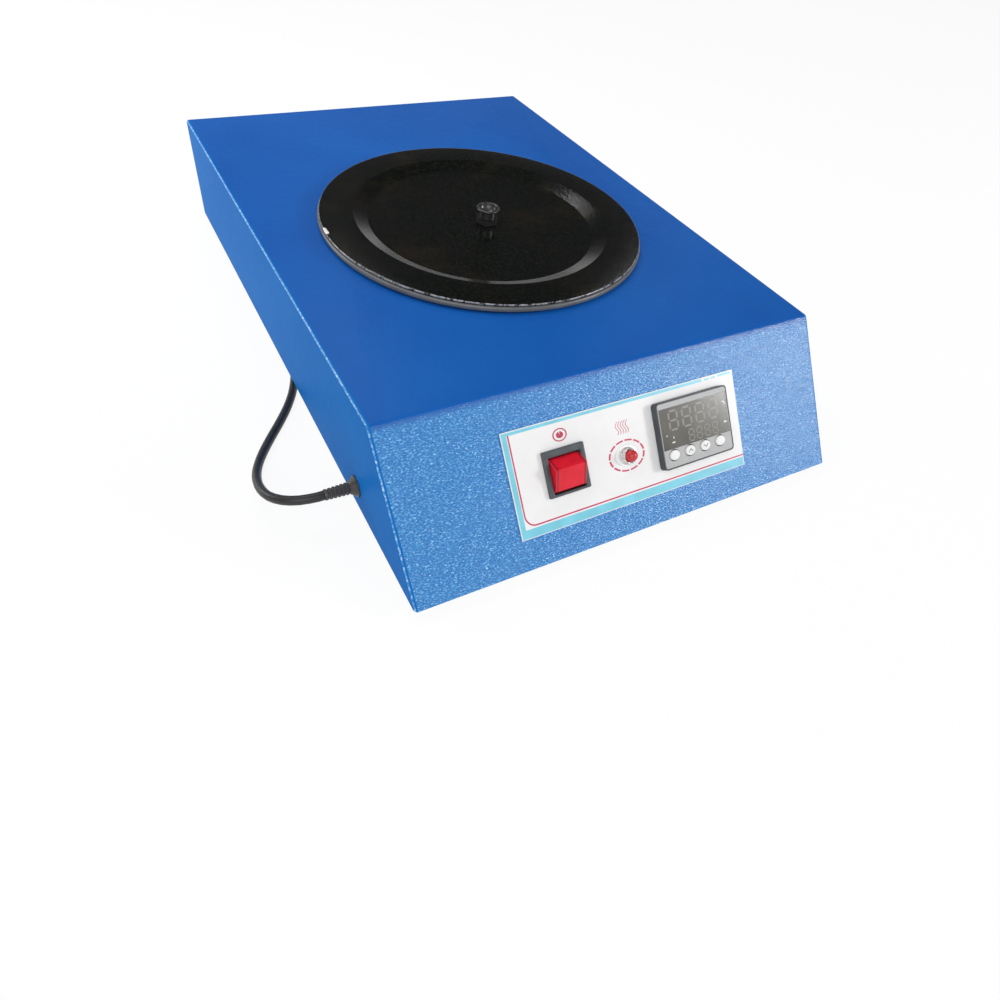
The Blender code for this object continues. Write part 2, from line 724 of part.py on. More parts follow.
def build_lid(black):
    at = (0, bath_y, 0)
    edge = LID_THICKNESS / 2
    profile = [
        (0, lid_floor_z),
        (lid_floor_radius - LID_BEND, lid_floor_z),
        (lid_floor_radius + LID_BEND, lid_floor_z + LID_BEND / 3),
        (lid_flange_inner - LID_BEND, lid_top_z - LID_BEND / 3),
        (lid_flange_inner, lid_top_z),
    ]
    profile += arc((lid_radius - edge, lid_top_z - edge), edge, math.pi / 2, -math.pi / 2, CORNER_STEPS)
    under = [(radius, height - LID_THICKNESS) for radius, height in reversed(profile[:5])]
    lid = object_from(turned(profile + under), "bath_lid", black, at)
    at = (KNOB_RIGHT, bath_y - KNOB_FORWARD, 0)
    hole = KNOB_SHANK_RADIUS + CLEAR
    cut(lid, upright_hole("lid_knob_hole", hole, lid_under_z, lid_floor_z, at))

    nut_low = lid_floor_z + CLEAR
    nut_high = nut_low + KNOB_NUT_HEIGHT
    nut("lid_knob_nut", KNOB_NUT_FLATS, nut_low, nut_high, hole, black, at)
    lock_high = lid_under_z - CLEAR
    lock_low = lock_high - LOCKNUT_HEIGHT
    nut("lid_knob_locknut", LOCKNUT_FLATS, lock_low, lock_high, hole, black, at)

    knob_low = nut_high + CLEAR
    knob_top = lid_floor_z + KNOB_HEIGHT
    lip = (KNOB_TOP_RADIUS - KNOB_MOUTH_RADIUS) / 2
    tip = lock_low - SHANK_TIP
    knob = [
        (0, tip),
        (KNOB_SHANK_RADIUS, tip),
        (KNOB_SHANK_RADIUS, knob_low),
        (KNOB_NECK_RADIUS, knob_low),
        (KNOB_NECK_RADIUS, knob_top - KNOB_FLARE_HEIGHT),
        (KNOB_TOP_RADIUS, knob_top - lip),
    ]
    knob += arc((KNOB_TOP_RADIUS - lip, knob_top - lip), lip, 0, math.pi, CORNER_STEPS)[1:]
    knob += [
        (KNOB_SHANK_RADIUS + lip, knob_top - KNOB_HOLLOW_DEPTH),
        (0, knob_top - KNOB_HOLLOW_DEPTH),
    ]
    object_from(turned(knob, steps=KNOB_STEPS), "lid_knob", black, at)


def build_heater(mica, steel, wool, aluminium):
    at = (0, bath_y, 0)
    hole = STUD_RADIUS + CLEAR
    low, high = heater_low_z, heater_low_z + HEATER_THICKNESS
    heater = object_from(turned(ring(hole, heater_radius, low, high), steps=48), "heater_plate", mica, at)
    tab_length = HEATER_TAB_LENGTH + OVERRUN
    tab_y = -heater_radius + OVERRUN - tab_length / 2
    tab_height = HEATER_THICKNESS - CLEAR
    tab = block((HEATER_TAB_WIDTH, tab_length, tab_height), (-HEATER_TAB_SIDE, tab_y, (low + high) / 2))
    cut(heater, object_from(tab, "heater_tab", None, at), "UNION")

    low, high = clamp_plate_low_z, clamp_plate_low_z + CLAMP_PLATE_THICKNESS
    plate = turned(ring(hole, clamp_plate_radius, low, high), steps=48)
    clamp_plate = object_from(plate, "heater_clamp_plate", steel, at)
    screw_hole = SADDLE_SCREW_RADIUS + CLEAR
    cut(clamp_plate, upright_hole("saddle_screw_hole", screw_hole, low, high, saddle_screw_place(), 12))
    nut("heater_nut", HEATER_NUT_FLATS, heater_nut_low_z, clamp_plate_low_z - CLEAR, hole, steel, at)
    pad = turned(rod(insulation_radius, plate_top_z + CLEAR, insulation_top_z), steps=40)
    object_from(pad, "insulation_pad", wool, at)

    top = clamp_plate_low_z - CLEAR
    flange_low = top - CUTOUT_FLANGE_THICKNESS
    profile = [
        (0, top),
        (CUTOUT_FLANGE_RADIUS, top),
        (CUTOUT_FLANGE_RADIUS, flange_low),
        (CUTOUT_RADIUS, flange_low),
        (CUTOUT_RADIUS, top - CUTOUT_HEIGHT),
        (0, top - CUTOUT_HEIGHT),
    ]
    object_from(turned(profile, steps=20), "thermal_cutout", aluminium, (-CUTOUT_SIDE, bath_y, 0))


def saddle_screw_place():
    return (PROBE_SIDE + PROBE_RADIUS + CLEAR + SADDLE_THICKNESS + SADDLE_EAR / 2, bath_y - PROBE_FORWARD, 0)


def build_sensor(steel, zinc):
    probe_profile = rod(PROBE_RADIUS, -PROBE_LENGTH / 2, PROBE_LENGTH / 2)
    probe = turned(probe_profile, steps=16, turn_to=turn(math.pi / 2, "X"))
    y = bath_y - PROBE_FORWARD
    object_from(probe, "sensor_probe", steel, (PROBE_SIDE, y, probe_z))
    high = clamp_plate_low_z - CLEAR
    half = PROBE_RADIUS + CLEAR
    low = probe_z - half
    wall = SADDLE_THICKNESS
    ear = half + wall + SADDLE_EAR
    outline = [
        (-ear, high),
        (-half, high),
        (-half, low),
        (half, low),
        (half, high),
        (ear, high),
        (ear, high - wall),
        (half + wall, high - wall),
        (half + wall, low - wall),
        (-half - wall, low - wall),
        (-half - wall, high - wall),
        (-ear, high - wall),
    ]
    bm = swept(outline, -SADDLE_WIDTH / 2, SADDLE_WIDTH / 2)
    bmesh.ops.rotate(bm, verts=bm.verts, matrix=turn(math.pi / 2, "Z"))
    saddle = object_from(bm, "sensor_saddle", zinc, (PROBE_SIDE, y, 0))
    spot = saddle_screw_place()
    ear_hole = SADDLE_SCREW_RADIUS + CLEAR
    cut(saddle, upright_hole("saddle_ear_hole", ear_hole, high - wall, high, spot, steps=12))
    head_top = high - wall - CLEAR
    shank_top = clamp_plate_low_z + CLAMP_PLATE_THICKNESS - CLEAR
    profile = [
        (0, head_top - SADDLE_SCREW_HEAD_HEIGHT),
        (SADDLE_SCREW_HEAD_RADIUS, head_top - SADDLE_SCREW_HEAD_HEIGHT),
        (SADDLE_SCREW_HEAD_RADIUS, head_top),
        (SADDLE_SCREW_RADIUS, head_top),
        (SADDLE_SCREW_RADIUS, shank_top),
        (0, shank_top),
    ]
    object_from(turned(profile, steps=12), "sensor_saddle_screw", steel, spot)


def build_label(panel, film):
    centre = on_label(LABEL_WIDTH / 2, LABEL_HEIGHT / 2)
    sheet = slab(LABEL_WIDTH, LABEL_HEIGHT, CLEAR, label_face)
    label = object_from(sheet, "fascia_label", film, centre, panel)
    cut_panel_holes(label, panel)


def build_switch(panel, dark, red):
    at = on_label(SWITCH_ALONG, SWITCH_UP)
    low = label_face + CLEAR
    high = low + SWITCH_BEZEL_THICKNESS
    bm = slab(SWITCH_WIDTH, SWITCH_HEIGHT, low, high, (0, SWITCH_BEZEL_RISE))
    rim = [e for e in bm.edges if min(v.co.z for v in e.verts) > low + MERGE]
    bevel(bm, rim + upright_edges(bm), SWITCH_BEZEL_THICKNESS / 4)
    body = object_from(bm, "switch_body", dark, at, panel)
    lower = slab(SWITCH_BODY_WIDTH, SWITCH_BODY_HEIGHT, -SWITCH_BODY_DEPTH, (low + high) / 2)
    cut(body, object_from(lower, "switch_lower", None, at, panel), "UNION")
    well = slab(WELL_WIDTH, WELL_HEIGHT, -WELL_DEPTH, high + OVERRUN)
    cut(body, object_from(well, "switch_well", None, at, panel))

    reach = WELL_HEIGHT / 2 - CLEAR
    foot_radius = math.hypot(ROCKER_FOOT_REACH, ROCKER_FOOT_HEIGHT)
    foot_angle = math.pi - math.asin(ROCKER_FOOT_HEIGHT / foot_radius)
    outline = arc((0, 0), reach, -math.asin(ROCKER_KEEL / reach), 0, CORNER_STEPS)
    outline += [(ROCKER_TOP_REACH, ROCKER_TOP_HEIGHT), (ROCKER_RIDGE_UP, ROCKER_RIDGE_HEIGHT)]
    outline += arc((0, 0), foot_radius, foot_angle, math.pi, CORNER_STEPS)
    half = WELL_WIDTH / 2 - CLEAR
    pivot = on_label(SWITCH_ALONG, SWITCH_UP, -ROCKER_PIVOT_DEPTH)
    object_from(swept(outline, -half, half), "switch_rocker", red, pivot, panel)


def build_lamp(panel, chrome, red, steel):
    at = on_label(LAMP_ALONG, LAMP_UP)
    low = label_face + CLEAR
    neck = low + LAMP_NECK_HEIGHT
    seat = neck - LAMP_SEAT_DEPTH
    bore = LENS_RADIUS + CLEAR
    bezel = [
        (0, -LAMP_BARREL_LENGTH),
        (LAMP_BARREL_RADIUS, -LAMP_BARREL_LENGTH),
        (LAMP_BARREL_RADIUS, low),
        (LAMP_FLANGE_RADIUS, low),
        (LAMP_FLANGE_RADIUS, low + LAMP_FLANGE_THICKNESS / 2),
        (LAMP_NECK_RADIUS, low + LAMP_FLANGE_THICKNESS),
        (LAMP_NECK_RADIUS, neck),
        (bore, neck),
        (bore, seat),
        (0, seat),
    ]
    object_from(turned(bezel, steps=32), "lamp_bezel", chrome, at, panel)
    dome = neck + LENS_HEIGHT - LENS_RADIUS
    lens = [(0, seat + CLEAR), (LENS_RADIUS, seat + CLEAR)]
    lens += arc((0, dome), LENS_RADIUS, 0, math.pi / 2, LENS_STEPS)[:-1]
    lens += [(0, dome + LENS_RADIUS)]
    object_from(turned(lens, steps=24), "lamp_lens", red, at, panel)
    nut_high = -SHEET - CLEAR
    hole = LAMP_BARREL_RADIUS + CLEAR
    piece = nut("lamp_nut", LAMP_NUT_FLATS, nut_high - LAMP_NUT_HEIGHT, nut_high, hole, steel, at)
    piece.parent = panel
    bpy.data.objects["lamp_nut_hole"].parent = panel


def chamfered_block(width, height, low, high, chamfer):
    bm = slab(width, height, low, high)
    bevel(bm, upright_edges(bm), chamfer)
    return bm


def build_controller(panel, case_dark, face_grey, glass, digits_grey, board_green, white, green):
    at = on_label(CONTROLLER_ALONG, CONTROLLER_UP)
    low = label_face + CLEAR
    front = CONTROLLER_PROUD
    ledge = front - FACE_THICKNESS - CLEAR
    inner_width = CASE_WIDTH - CASE_WALL - CASE_WALL
    inner_height = CASE_HEIGHT - CASE_WALL - CASE_WALL
    face_width = CONTROLLER_WIDTH - CONTROLLER_RIM - CONTROLLER_RIM
    face_height = CONTROLLER_HEIGHT - CONTROLLER_RIM - CONTROLLER_RIM
    chamfer = CONTROLLER_CHAMFER

    bm = chamfered_block(CONTROLLER_WIDTH, CONTROLLER_HEIGHT, low, front, chamfer)
    case = object_from(bm, "controller_case", case_dark, at, panel)
    body = slab(CASE_WIDTH, CASE_HEIGHT, -CASE_DEPTH, (low + front) / 2)
    cut(case, object_from(body, "case_body", None, at, panel), "UNION")
    hollow = slab(inner_width, inner_height, CASE_WALL - CASE_DEPTH, front + OVERRUN)
    cut(case, object_from(hollow, "case_hollow", None, at, panel))
    seat_chamfer = chamfer - CONTROLLER_RIM / 2
    seat = chamfered_block(face_width, face_height, ledge, front + OVERRUN, seat_chamfer)
    cut(case, object_from(seat, "face_seat", None, at, panel))

    gap = CLEAR + CLEAR
    plate_low = front - FACE_THICKNESS
    plate = chamfered_block(face_width - gap, face_height - gap, plate_low, front, seat_chamfer)
    face = object_from(plate, "controller_face", face_grey, at, panel)
    window_width = face_width - gap - WINDOW_SIDE_STRIP - WINDOW_SIDE_STRIP
    window_y = (face_height - gap) / 2 - WINDOW_TOP_STRIP - WINDOW_HEIGHT / 2
    spot = (0, window_y)
    opening = slab(window_width, WINDOW_HEIGHT, front - FACE_THICKNESS - OVERRUN, front + OVERRUN, spot)
    cut(face, object_from(opening, "window_opening", None, at, panel))
    window_high = front - WINDOW_SUNK
    window_low = window_high - WINDOW_THICKNESS
    window = slab(window_width - gap, WINDOW_HEIGHT - gap, window_low, window_high, spot)
    object_from(window, "display_window", glass, at, panel)
    digits_high = window_low - CLEAR
    digits_low = digits_high - DIGITS_THICKNESS
    digits = slab(DIGITS_WIDTH, DIGITS_HEIGHT, digits_low, digits_high, spot)
    object_from(digits, "display_digits", digits_grey, at, panel)
    board_high = digits_low - CLEAR
    board = slab(inner_width - gap, inner_height - gap, board_high - BOARD_THICKNESS, board_high)
    object_from(board, "controller_board", board_green, at, panel)
    key_length = front + KEY_PROUD - board_high - CLEAR - KEY_TRAVEL

    key_y = -CONTROLLER_HEIGHT / 2 + KEY_UP
    for k, name in enumerate(KEY_NAMES):
        x = (k - (len(KEY_NAMES) - 1) / 2) * KEY_PITCH - KEYS_LEFT
        build_key(panel, face, name, (x, key_y), key_length, white)

    outer_width = CASE_WIDTH + gap + CLAMP_WALL + CLAMP_WALL
    outer_height = CASE_HEIGHT + gap + CLAMP_WALL + CLAMP_WALL
    clamp_high = -SHEET - CLEAR
    clamp_low = clamp_high - CLAMP_LENGTH
    frame = slab(outer_width, outer_height, clamp_low, clamp_high)
    clamp = object_from(frame, "controller_clamp", case_dark, at, panel)
    bore = slab(CASE_WIDTH + gap, CASE_HEIGHT + gap, clamp_low - OVERRUN, clamp_high + OVERRUN)
    cut(clamp, object_from(bore, "clamp_bore", None, at, panel))
    rear = -CASE_DEPTH - CLEAR
    terminals = slab(TERMINALS_WIDTH, TERMINALS_HEIGHT, rear - TERMINALS_DEPTH, rear)
    object_from(terminals, "controller_terminals", green, at, panel)


def oval(width, height, low, high):
    bm = turned([(0, low), (1, low), (1, high), (0, high)], steps=KEY_STEPS)
    bmesh.ops.scale(bm, verts=bm.verts, vec=(width / 2, height / 2, 1))
    return bm


def build_key(panel, face, name, spot, length, white):
    """One key cap, which slides in square to the panel. Its origin is on its own middle line."""
    at = on_label(CONTROLLER_ALONG + spot[0], CONTROLLER_UP + spot[1], CONTROLLER_PROUD)
    gap = CLEAR + CLEAR
    hole = oval(KEY_WIDTH + gap, KEY_HEIGHT + gap, -FACE_THICKNESS - OVERRUN, OVERRUN)
    cut(face, object_from(hole, name + "_hole", None, at, panel))
    object_from(oval(KEY_WIDTH, KEY_HEIGHT, KEY_PROUD - length, KEY_PROUD), name, white, at, panel)


def build_terminals(cream, brass):
    low = strip_low_z
    at = (strip_x, entry_y, low)
    strip = object_from(slab(STRIP_LENGTH, STRIP_WIDTH, 0, STRIP_HEIGHT), "terminal_strip", cream, at)
    for k in range(1, STRIP_POLES):
        x = (k / STRIP_POLES - 1 / 2) * STRIP_LENGTH
        slot_low = STRIP_HEIGHT - STRIP_SLOT_DEPTH
        slot = slab(STRIP_SLOT_WIDTH, STRIP_WIDTH + OVERRUN, slot_low, STRIP_HEIGHT + OVERRUN, (x, 0))
        cut(strip, object_from(slot, f"strip_slot_{k}", None, at))

    spot = (-WIDTH / 2 + EARTH_FROM_SIDE, entry_y + EARTH_BEHIND_STRIP, 0)
    base_top = low + EARTH_BASE_THICKNESS
    stud = [
        (0, low),
        (EARTH_BASE_RADIUS, low),
        (EARTH_BASE_RADIUS, base_top),
        (EARTH_RADIUS, base_top),
        (EARTH_RADIUS, low + EARTH_HEIGHT),
        (0, low + EARTH_HEIGHT),
    ]
    object_from(turned(stud, steps=16), "earth_stud", brass, spot)
    nut_low = base_top + CLEAR
    nut("earth_nut", EARTH_NUT_FLATS, nut_low, nut_low + EARTH_NUT_HEIGHT, EARTH_RADIUS + CLEAR, brass, spot)


def build_grommet(rubber):
    """Made about Z with its outer end up, then turned to point out of the left side."""
    out = CLEAR
    inside = -SHEET - CLEAR
    cone = out + GROMMET_CONE_LENGTH
    profile = [
        (0, inside - GROMMET_INNER_THICKNESS),
        (GROMMET_INNER_RADIUS, inside - GROMMET_INNER_THICKNESS),
        (GROMMET_INNER_RADIUS, inside),
        (GROMMET_NECK_RADIUS, inside),
        (GROMMET_NECK_RADIUS, out),
        (GROMMET_FLANGE_RADIUS, out),
        (GROMMET_FLANGE_RADIUS, out + SHEET / 2),
        (GROMMET_CONE_RADIUS, cone),
        (SLEEVE_TIP_RADIUS, cone + SLEEVE_LENGTH),
        (0, cone + SLEEVE_LENGTH),
    ]
    bm = turned(profile, steps=KNOB_STEPS, turn_to=turn(-math.pi / 2, "Y"))
    object_from(bm, "cable_grommet", rubber, (-WIDTH / 2, entry_y, entry_z))


def coil_point(turns):
    """The coil's centreline: in on the lower layer, out on the upper one, climbing round the reversal."""
    pitch = cord_width + COIL_GAP
    from_reversal = turns - COIL_TURNS_IN
    inward = COIL_RADIUS - pitch * COIL_TURNS_IN
    radius = inward + pitch * math.hypot(from_reversal, COIL_EASE_TURNS)
    climbed = min(1, max(0, from_reversal / CLIMB_TURNS + 1 / 2))
    height = COIL_LIFT + CORD_RADIUS + pitch * climbed * climbed * (3 - 2 * climbed)
    angle = math.tau * turns - math.pi / 2
    x = COIL_CENTRE_X + radius * math.cos(angle)
    y = COIL_CENTRE_Y + radius * math.sin(angle)
    return Vector((x, y, height))


def coil_points():
    """Straight in for one cord width, round the turns, and a straight tail that rises to the plug."""
    turns = COIL_TURNS + TAIL_HEADING / math.tau
    steps = round(turns * COIL_POINTS_PER_TURN)
    wound = [coil_point(turns * k / steps) for k in range(steps + 1)]
    points = [wound[0] - Vector((cord_width, 0, 0))] + wound
    way = Vector((math.cos(TAIL_HEADING), math.sin(TAIL_HEADING), 0))
    rise = PLUG_ENTRY_HEIGHT - wound[-1].z
    for k in range(1, TAIL_STEPS + 1):
        t = k / TAIL_STEPS
        points.append(wound[-1] + way * TAIL_LENGTH * t + Vector((0, 0, rise * t * t * (3 - 2 * t))))
    points.append(points[-1] + way * cord_width)
    return points


def least_gap(points):
    """The least clear distance from the tube to itself, past the stretch next to each point."""
    near = round(COIL_POINTS_PER_TURN / 3)
    return min((p - q).length for k, p in enumerate(points) for q in points[k + near :]) - cord_width


def build_cord(black, brass):
    tube("mains_cord", smooth_route(CORD_ROUTE, CORD_STEP), CORD_RADIUS, CORD_ROUND_STEPS, black)
    points = coil_points()
    print("least gap of the coil to itself, mm:", round(least_gap(points) * 1000, 2))
    tube("cord_coil", points, CORD_RADIUS, COIL_ROUND_STEPS, black)

    pitch = cord_width + COIL_GAP
    outer = COIL_RADIUS + CORD_RADIUS + TIE_CLEAR
    inner = COIL_RADIUS - pitch * COIL_TURNS_IN - CORD_RADIUS - TIE_CLEAR
    low = COIL_LIFT - CLEAR
    high = COIL_LIFT + cord_width + pitch + CLEAR
    middle = (COIL_CENTRE_X - (outer + inner) / 2, COIL_CENTRE_Y, (low + high) / 2)
    wall = TIE_THICKNESS + TIE_THICKNESS
    tie = object_from(block((outer - inner + wall, TIE_WIDTH, high - low + wall)), "cord_tie", black, middle)
    bundle = block((outer - inner, TIE_WIDTH + OVERRUN, high - low))
    cut(tie, object_from(bundle, "tie_bundle", None, middle))

    plug = bpy.data.objects.new("plug_frame", None)
    end = points[-1] + Vector((math.cos(TAIL_HEADING), math.sin(TAIL_HEADING), 0)) * CLEAR
    place(plug, (end.x, end.y, 0))
    plug.rotation_euler.z = TAIL_HEADING
    build_plug(plug, black, brass)


def build_plug(plug, black, brass):
    """The plug points along its frame's +X, with the boot first."""
    back = PLUG_BOOT_LENGTH
    shoulder = back + PLUG_LENGTH * PLUG_SHOULDER_SHARE
    face = back + PLUG_LENGTH
    outline = [
        (back, -PLUG_BACK_WIDTH / 2),
        (shoulder, -PLUG_WIDTH / 2),
        (face, -PLUG_WIDTH / 2),
        (face, PLUG_WIDTH / 2),
        (shoulder, PLUG_WIDTH / 2),
        (back, PLUG_BACK_WIDTH / 2),
    ]
    bm = swept(outline, 0, PLUG_HEIGHT, "Z")
    top = [e for e in bm.edges if min(v.co.z for v in e.verts) > PLUG_HEIGHT - MERGE]
    bevel(bm, top + upright_edges(bm), PLUG_EDGE)
    body = object_from(bm, "plug_body", black, (0, 0, 0), plug)
    boot = turned(
        [
            (0, 0),
            (PLUG_BOOT_TIP_RADIUS, 0),
            (PLUG_BOOT_RADIUS, back),
            (PLUG_BOOT_RADIUS, back + OVERRUN),
            (0, back + OVERRUN),
        ],
        steps=16,
        turn_to=turn(math.pi / 2, "Y"),
    )
    cut(body, object_from(boot, "plug_boot", None, (0, 0, PLUG_ENTRY_HEIGHT), plug), "UNION")
    pins = (
        ("plug_pin_live", -PIN_SPACING / 2, PIN_LOW, PIN_RADIUS, PIN_LENGTH),
        ("plug_pin_neutral", PIN_SPACING / 2, PIN_LOW, PIN_RADIUS, PIN_LENGTH),
        ("plug_pin_earth", 0, PIN_LOW + PIN_DROP, EARTH_PIN_RADIUS, EARTH_PIN_LENGTH),
    )
    forward = turn(math.pi / 2, "Y")
    for name, y, z, radius, length in pins:
        seat = turned(rod(radius + CLEAR, -PIN_EMBED - CLEAR, OVERRUN), steps=16, turn_to=forward)
        cut(body, object_from(seat, name + "_seat", None, (face, y, z), plug))
        profile = rod(radius, -PIN_EMBED, length - radius / 2)[:-1] + [(radius / 2, length), (0, length)]
        pin = turned(profile, steps=16, turn_to=forward)
        object_from(pin, name, brass, (face, y, z), plug)


def pole(number, side):
    """The place where a wire enters one pole of the terminal strip, on its front (-1) or its back (1)."""
    x = strip_x + ((number - 1 / 2) / STRIP_POLES - 1 / 2) * STRIP_LENGTH
    return Vector((x, entry_y + side * (STRIP_WIDTH / 2 + CLEAR), pole_z))


def panel_point(along, up, out):
    """A place on the sloped panel, in the object's own frame."""
    return panel_origin + turn(slope_angle, "X") @ on_label(along, up, out)


def build_wires(black, red, white):
    right = Vector((WIRE_STRAIGHT, 0, 0))
    back = Vector((0, WIRE_STRAIGHT, 0))
    up_to_panel = turn(slope_angle, "X") @ Vector((0, 0, WIRE_STRAIGHT))
    inner_end = -WIDTH / 2 + SHEET + CLEAR + GROMMET_INNER_THICKNESS + CLEAR
    entry = Vector((inner_end, entry_y, entry_z))
    strip_left = Vector((strip_x - STRIP_LENGTH / 2 - CLEAR, entry_y, pole_z))
    strip_right = Vector((strip_x + STRIP_LENGTH / 2 + CLEAR, entry_y, pole_z))
    inner_route = lead_route(entry, right, strip_left, right, CORD_STEP)
    tube("inner_cord", inner_route, CORD_RADIUS, CORD_ROUND_STEPS, black)

    tab_end = bath_y - heater_radius - HEATER_TAB_LENGTH - CLEAR
    tab = Vector((-HEATER_TAB_SIDE, tab_end, heater_low_z + HEATER_THICKNESS / 2))
    heater_route = lead_route(pole(HEATER_POLE, 1), back, tab, back, WIRE_STEP)
    tube("heater_lead", heater_route, WIRE_RADIUS, CORD_ROUND_STEPS, white)

    switch_rear = panel_point(SWITCH_ALONG, SWITCH_UP, -SWITCH_BODY_DEPTH - CLEAR)
    switch_route = lead_route(pole(SWITCH_POLE, -1), -back, switch_rear, up_to_panel, WIRE_STEP)
    tube("switch_lead", switch_route, WIRE_RADIUS, CORD_ROUND_STEPS, red)

    rear = -CASE_DEPTH - CLEAR - TERMINALS_DEPTH - CLEAR
    supply = panel_point(CONTROLLER_ALONG - TERMINAL_SPACING, CONTROLLER_UP, rear)
    supply_route = lead_route(strip_right, right, supply, up_to_panel, WIRE_STEP)
    tube("controller_lead", supply_route, WIRE_RADIUS, CORD_ROUND_STEPS, red)

    probe_end = Vector((PROBE_SIDE, bath_y - PROBE_FORWARD - PROBE_LENGTH / 2 - CLEAR, probe_z))
    past_pad = Vector((0, PROBE_FORWARD + PROBE_LENGTH / 2 - insulation_radius, 0))
    signal = panel_point(CONTROLLER_ALONG, CONTROLLER_UP, rear)
    sensor_route = lead_route(probe_end, past_pad, signal, up_to_panel, WIRE_STEP)
    tube("sensor_lead", sensor_route, SENSOR_LEAD_RADIUS, CORD_ROUND_STEPS, white)


def main():
    start_empty()
    blue_paint = finish_of("blue_powder_coat", (0.025, 0.125, 0.50), 0.42)
    black_paint = finish_of("black_crinkle_paint", (0.012, 0.012, 0.011), 0.38)
    zinc = finish_of("zinc_sheet", (0.55, 0.56, 0.57), 0.38, 0.9)
    steel = finish_of("bright_steel", (0.62, 0.62, 0.62), 0.30, 1.0)
    chrome = finish_of("chrome", (0.78, 0.78, 0.78), 0.12, 1.0)
    aluminium = finish_of("dark_aluminium", (0.20, 0.20, 0.19), 0.35, 0.9)
    rubber = finish_of("black_rubber", (0.018, 0.018, 0.018), 0.62)
    silicone = finish_of("grey_silicone", (0.22, 0.22, 0.22), 0.60)
    mica = finish_of("mica", (0.36, 0.31, 0.24), 0.55)
    wool = finish_of("glass_wool", (0.72, 0.66, 0.42), 0.95)
    film = finish_of("label_film", (0.84, 0.84, 0.84), 0.35)
    switch_dark = finish_of("switch_plastic", (0.055, 0.065, 0.075), 0.40)
    red_clear = finish_of("red_lens_plastic", (0.62, 0.012, 0.022), 0.25)
    case_dark = finish_of("controller_plastic", (0.045, 0.050, 0.058), 0.50)
    face_grey = finish_of("controller_face_film", (0.46, 0.46, 0.46), 0.45)
    glass = finish_of("tinted_window", (0.075, 0.072, 0.065), 0.25)
    digits_grey = finish_of("digit_block", (0.16, 0.15, 0.13), 0.50)
    board_green = finish_of("circuit_board", (0.02, 0.14, 0.06), 0.50)
    key_white = finish_of("key_silicone", (0.80, 0.80, 0.78), 0.50)
    terminal_green = finish_of("terminal_plastic", (0.03, 0.22, 0.09), 0.45)
    cream = finish_of("cream_phenolic", (0.66, 0.60, 0.45), 0.50)
    brass = finish_of("brass", (0.70, 0.52, 0.20), 0.28, 1.0)
    cord_black = finish_of("cord_pvc", (0.015, 0.015, 0.015), 0.45)
    wire_red = finish_of("red_wire", (0.45, 0.02, 0.02), 0.45)
    wire_white = finish_of("white_sleeving", (0.70, 0.70, 0.68), 0.60)

    panel = place(bpy.data.objects.new("panel_frame", None), panel_origin)
    panel.rotation_euler.x = slope_angle
    build_housing(panel, blue_paint)
    build_base(zinc, steel, rubber)
    build_basin(aluminium, silicone, zinc)
    build_lid(black_paint)
    build_heater(mica, steel, wool, aluminium)
    build_sensor(steel, zinc)
    build_label(panel, film)
    build_switch(panel, switch_dark, red_clear)
    build_lamp(panel, chrome, red_clear, steel)
    build_controller(
        panel, case_dark, face_grey, glass, digits_grey, board_green, key_white, terminal_green
    )
    build_terminals(cream, brass)
    build_grommet(rubber)
    build_cord(cord_black, brass)
    build_wires(cord_black, wire_red, wire_white)


main()
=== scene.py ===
"""Tissue flotation bath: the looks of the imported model, piece by piece. Metres, +Z up, front at -Y."""

import math

import bmesh
import bpy
from mathutils import Matrix, Vector


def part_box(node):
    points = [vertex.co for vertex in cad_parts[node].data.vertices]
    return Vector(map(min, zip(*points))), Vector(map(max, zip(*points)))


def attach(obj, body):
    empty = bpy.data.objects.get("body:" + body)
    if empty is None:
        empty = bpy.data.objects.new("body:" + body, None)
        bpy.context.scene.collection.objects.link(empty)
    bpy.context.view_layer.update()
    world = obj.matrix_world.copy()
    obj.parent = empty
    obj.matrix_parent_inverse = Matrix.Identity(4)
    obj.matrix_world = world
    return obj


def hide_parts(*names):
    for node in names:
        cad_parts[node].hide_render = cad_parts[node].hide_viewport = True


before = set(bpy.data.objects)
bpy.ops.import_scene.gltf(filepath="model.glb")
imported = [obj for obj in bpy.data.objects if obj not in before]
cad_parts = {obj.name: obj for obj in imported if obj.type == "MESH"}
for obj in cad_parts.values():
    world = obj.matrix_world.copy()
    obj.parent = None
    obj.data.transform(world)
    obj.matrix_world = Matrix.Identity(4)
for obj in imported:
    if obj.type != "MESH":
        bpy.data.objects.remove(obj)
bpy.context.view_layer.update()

# Camera. A close view from the front left, about fifty degrees above the table and a little rolled, so
# that the near corner of the housing looms and its back end runs away to the top of the picture.
eye = Vector((-0.254085, -0.412004, 0.318649))
aim = Vector((-0.15064, -0.25418, 0.09))
roll = math.radians(8.546)
view_lens = bpy.data.cameras.new("bench_camera")
view_lens.sensor_width = 36
view_lens.lens = 23.683
view_lens.shift_x = 0.04207
view_lens.shift_y = 0.0312
view_lens.clip_start = 0.01
camera = bpy.data.objects.new("bench_camera", view_lens)
facing = (aim - eye).to_track_quat("-Z", "Y").to_matrix() @ Matrix.Rotation(roll, 3, "Z")
camera.matrix_world = Matrix.Translation(eye) @ facing.to_4x4()
bpy.context.scene.collection.objects.link(camera)
bpy.context.scene.camera = camera
bpy.context.scene.view_settings.view_transform = "Standard"


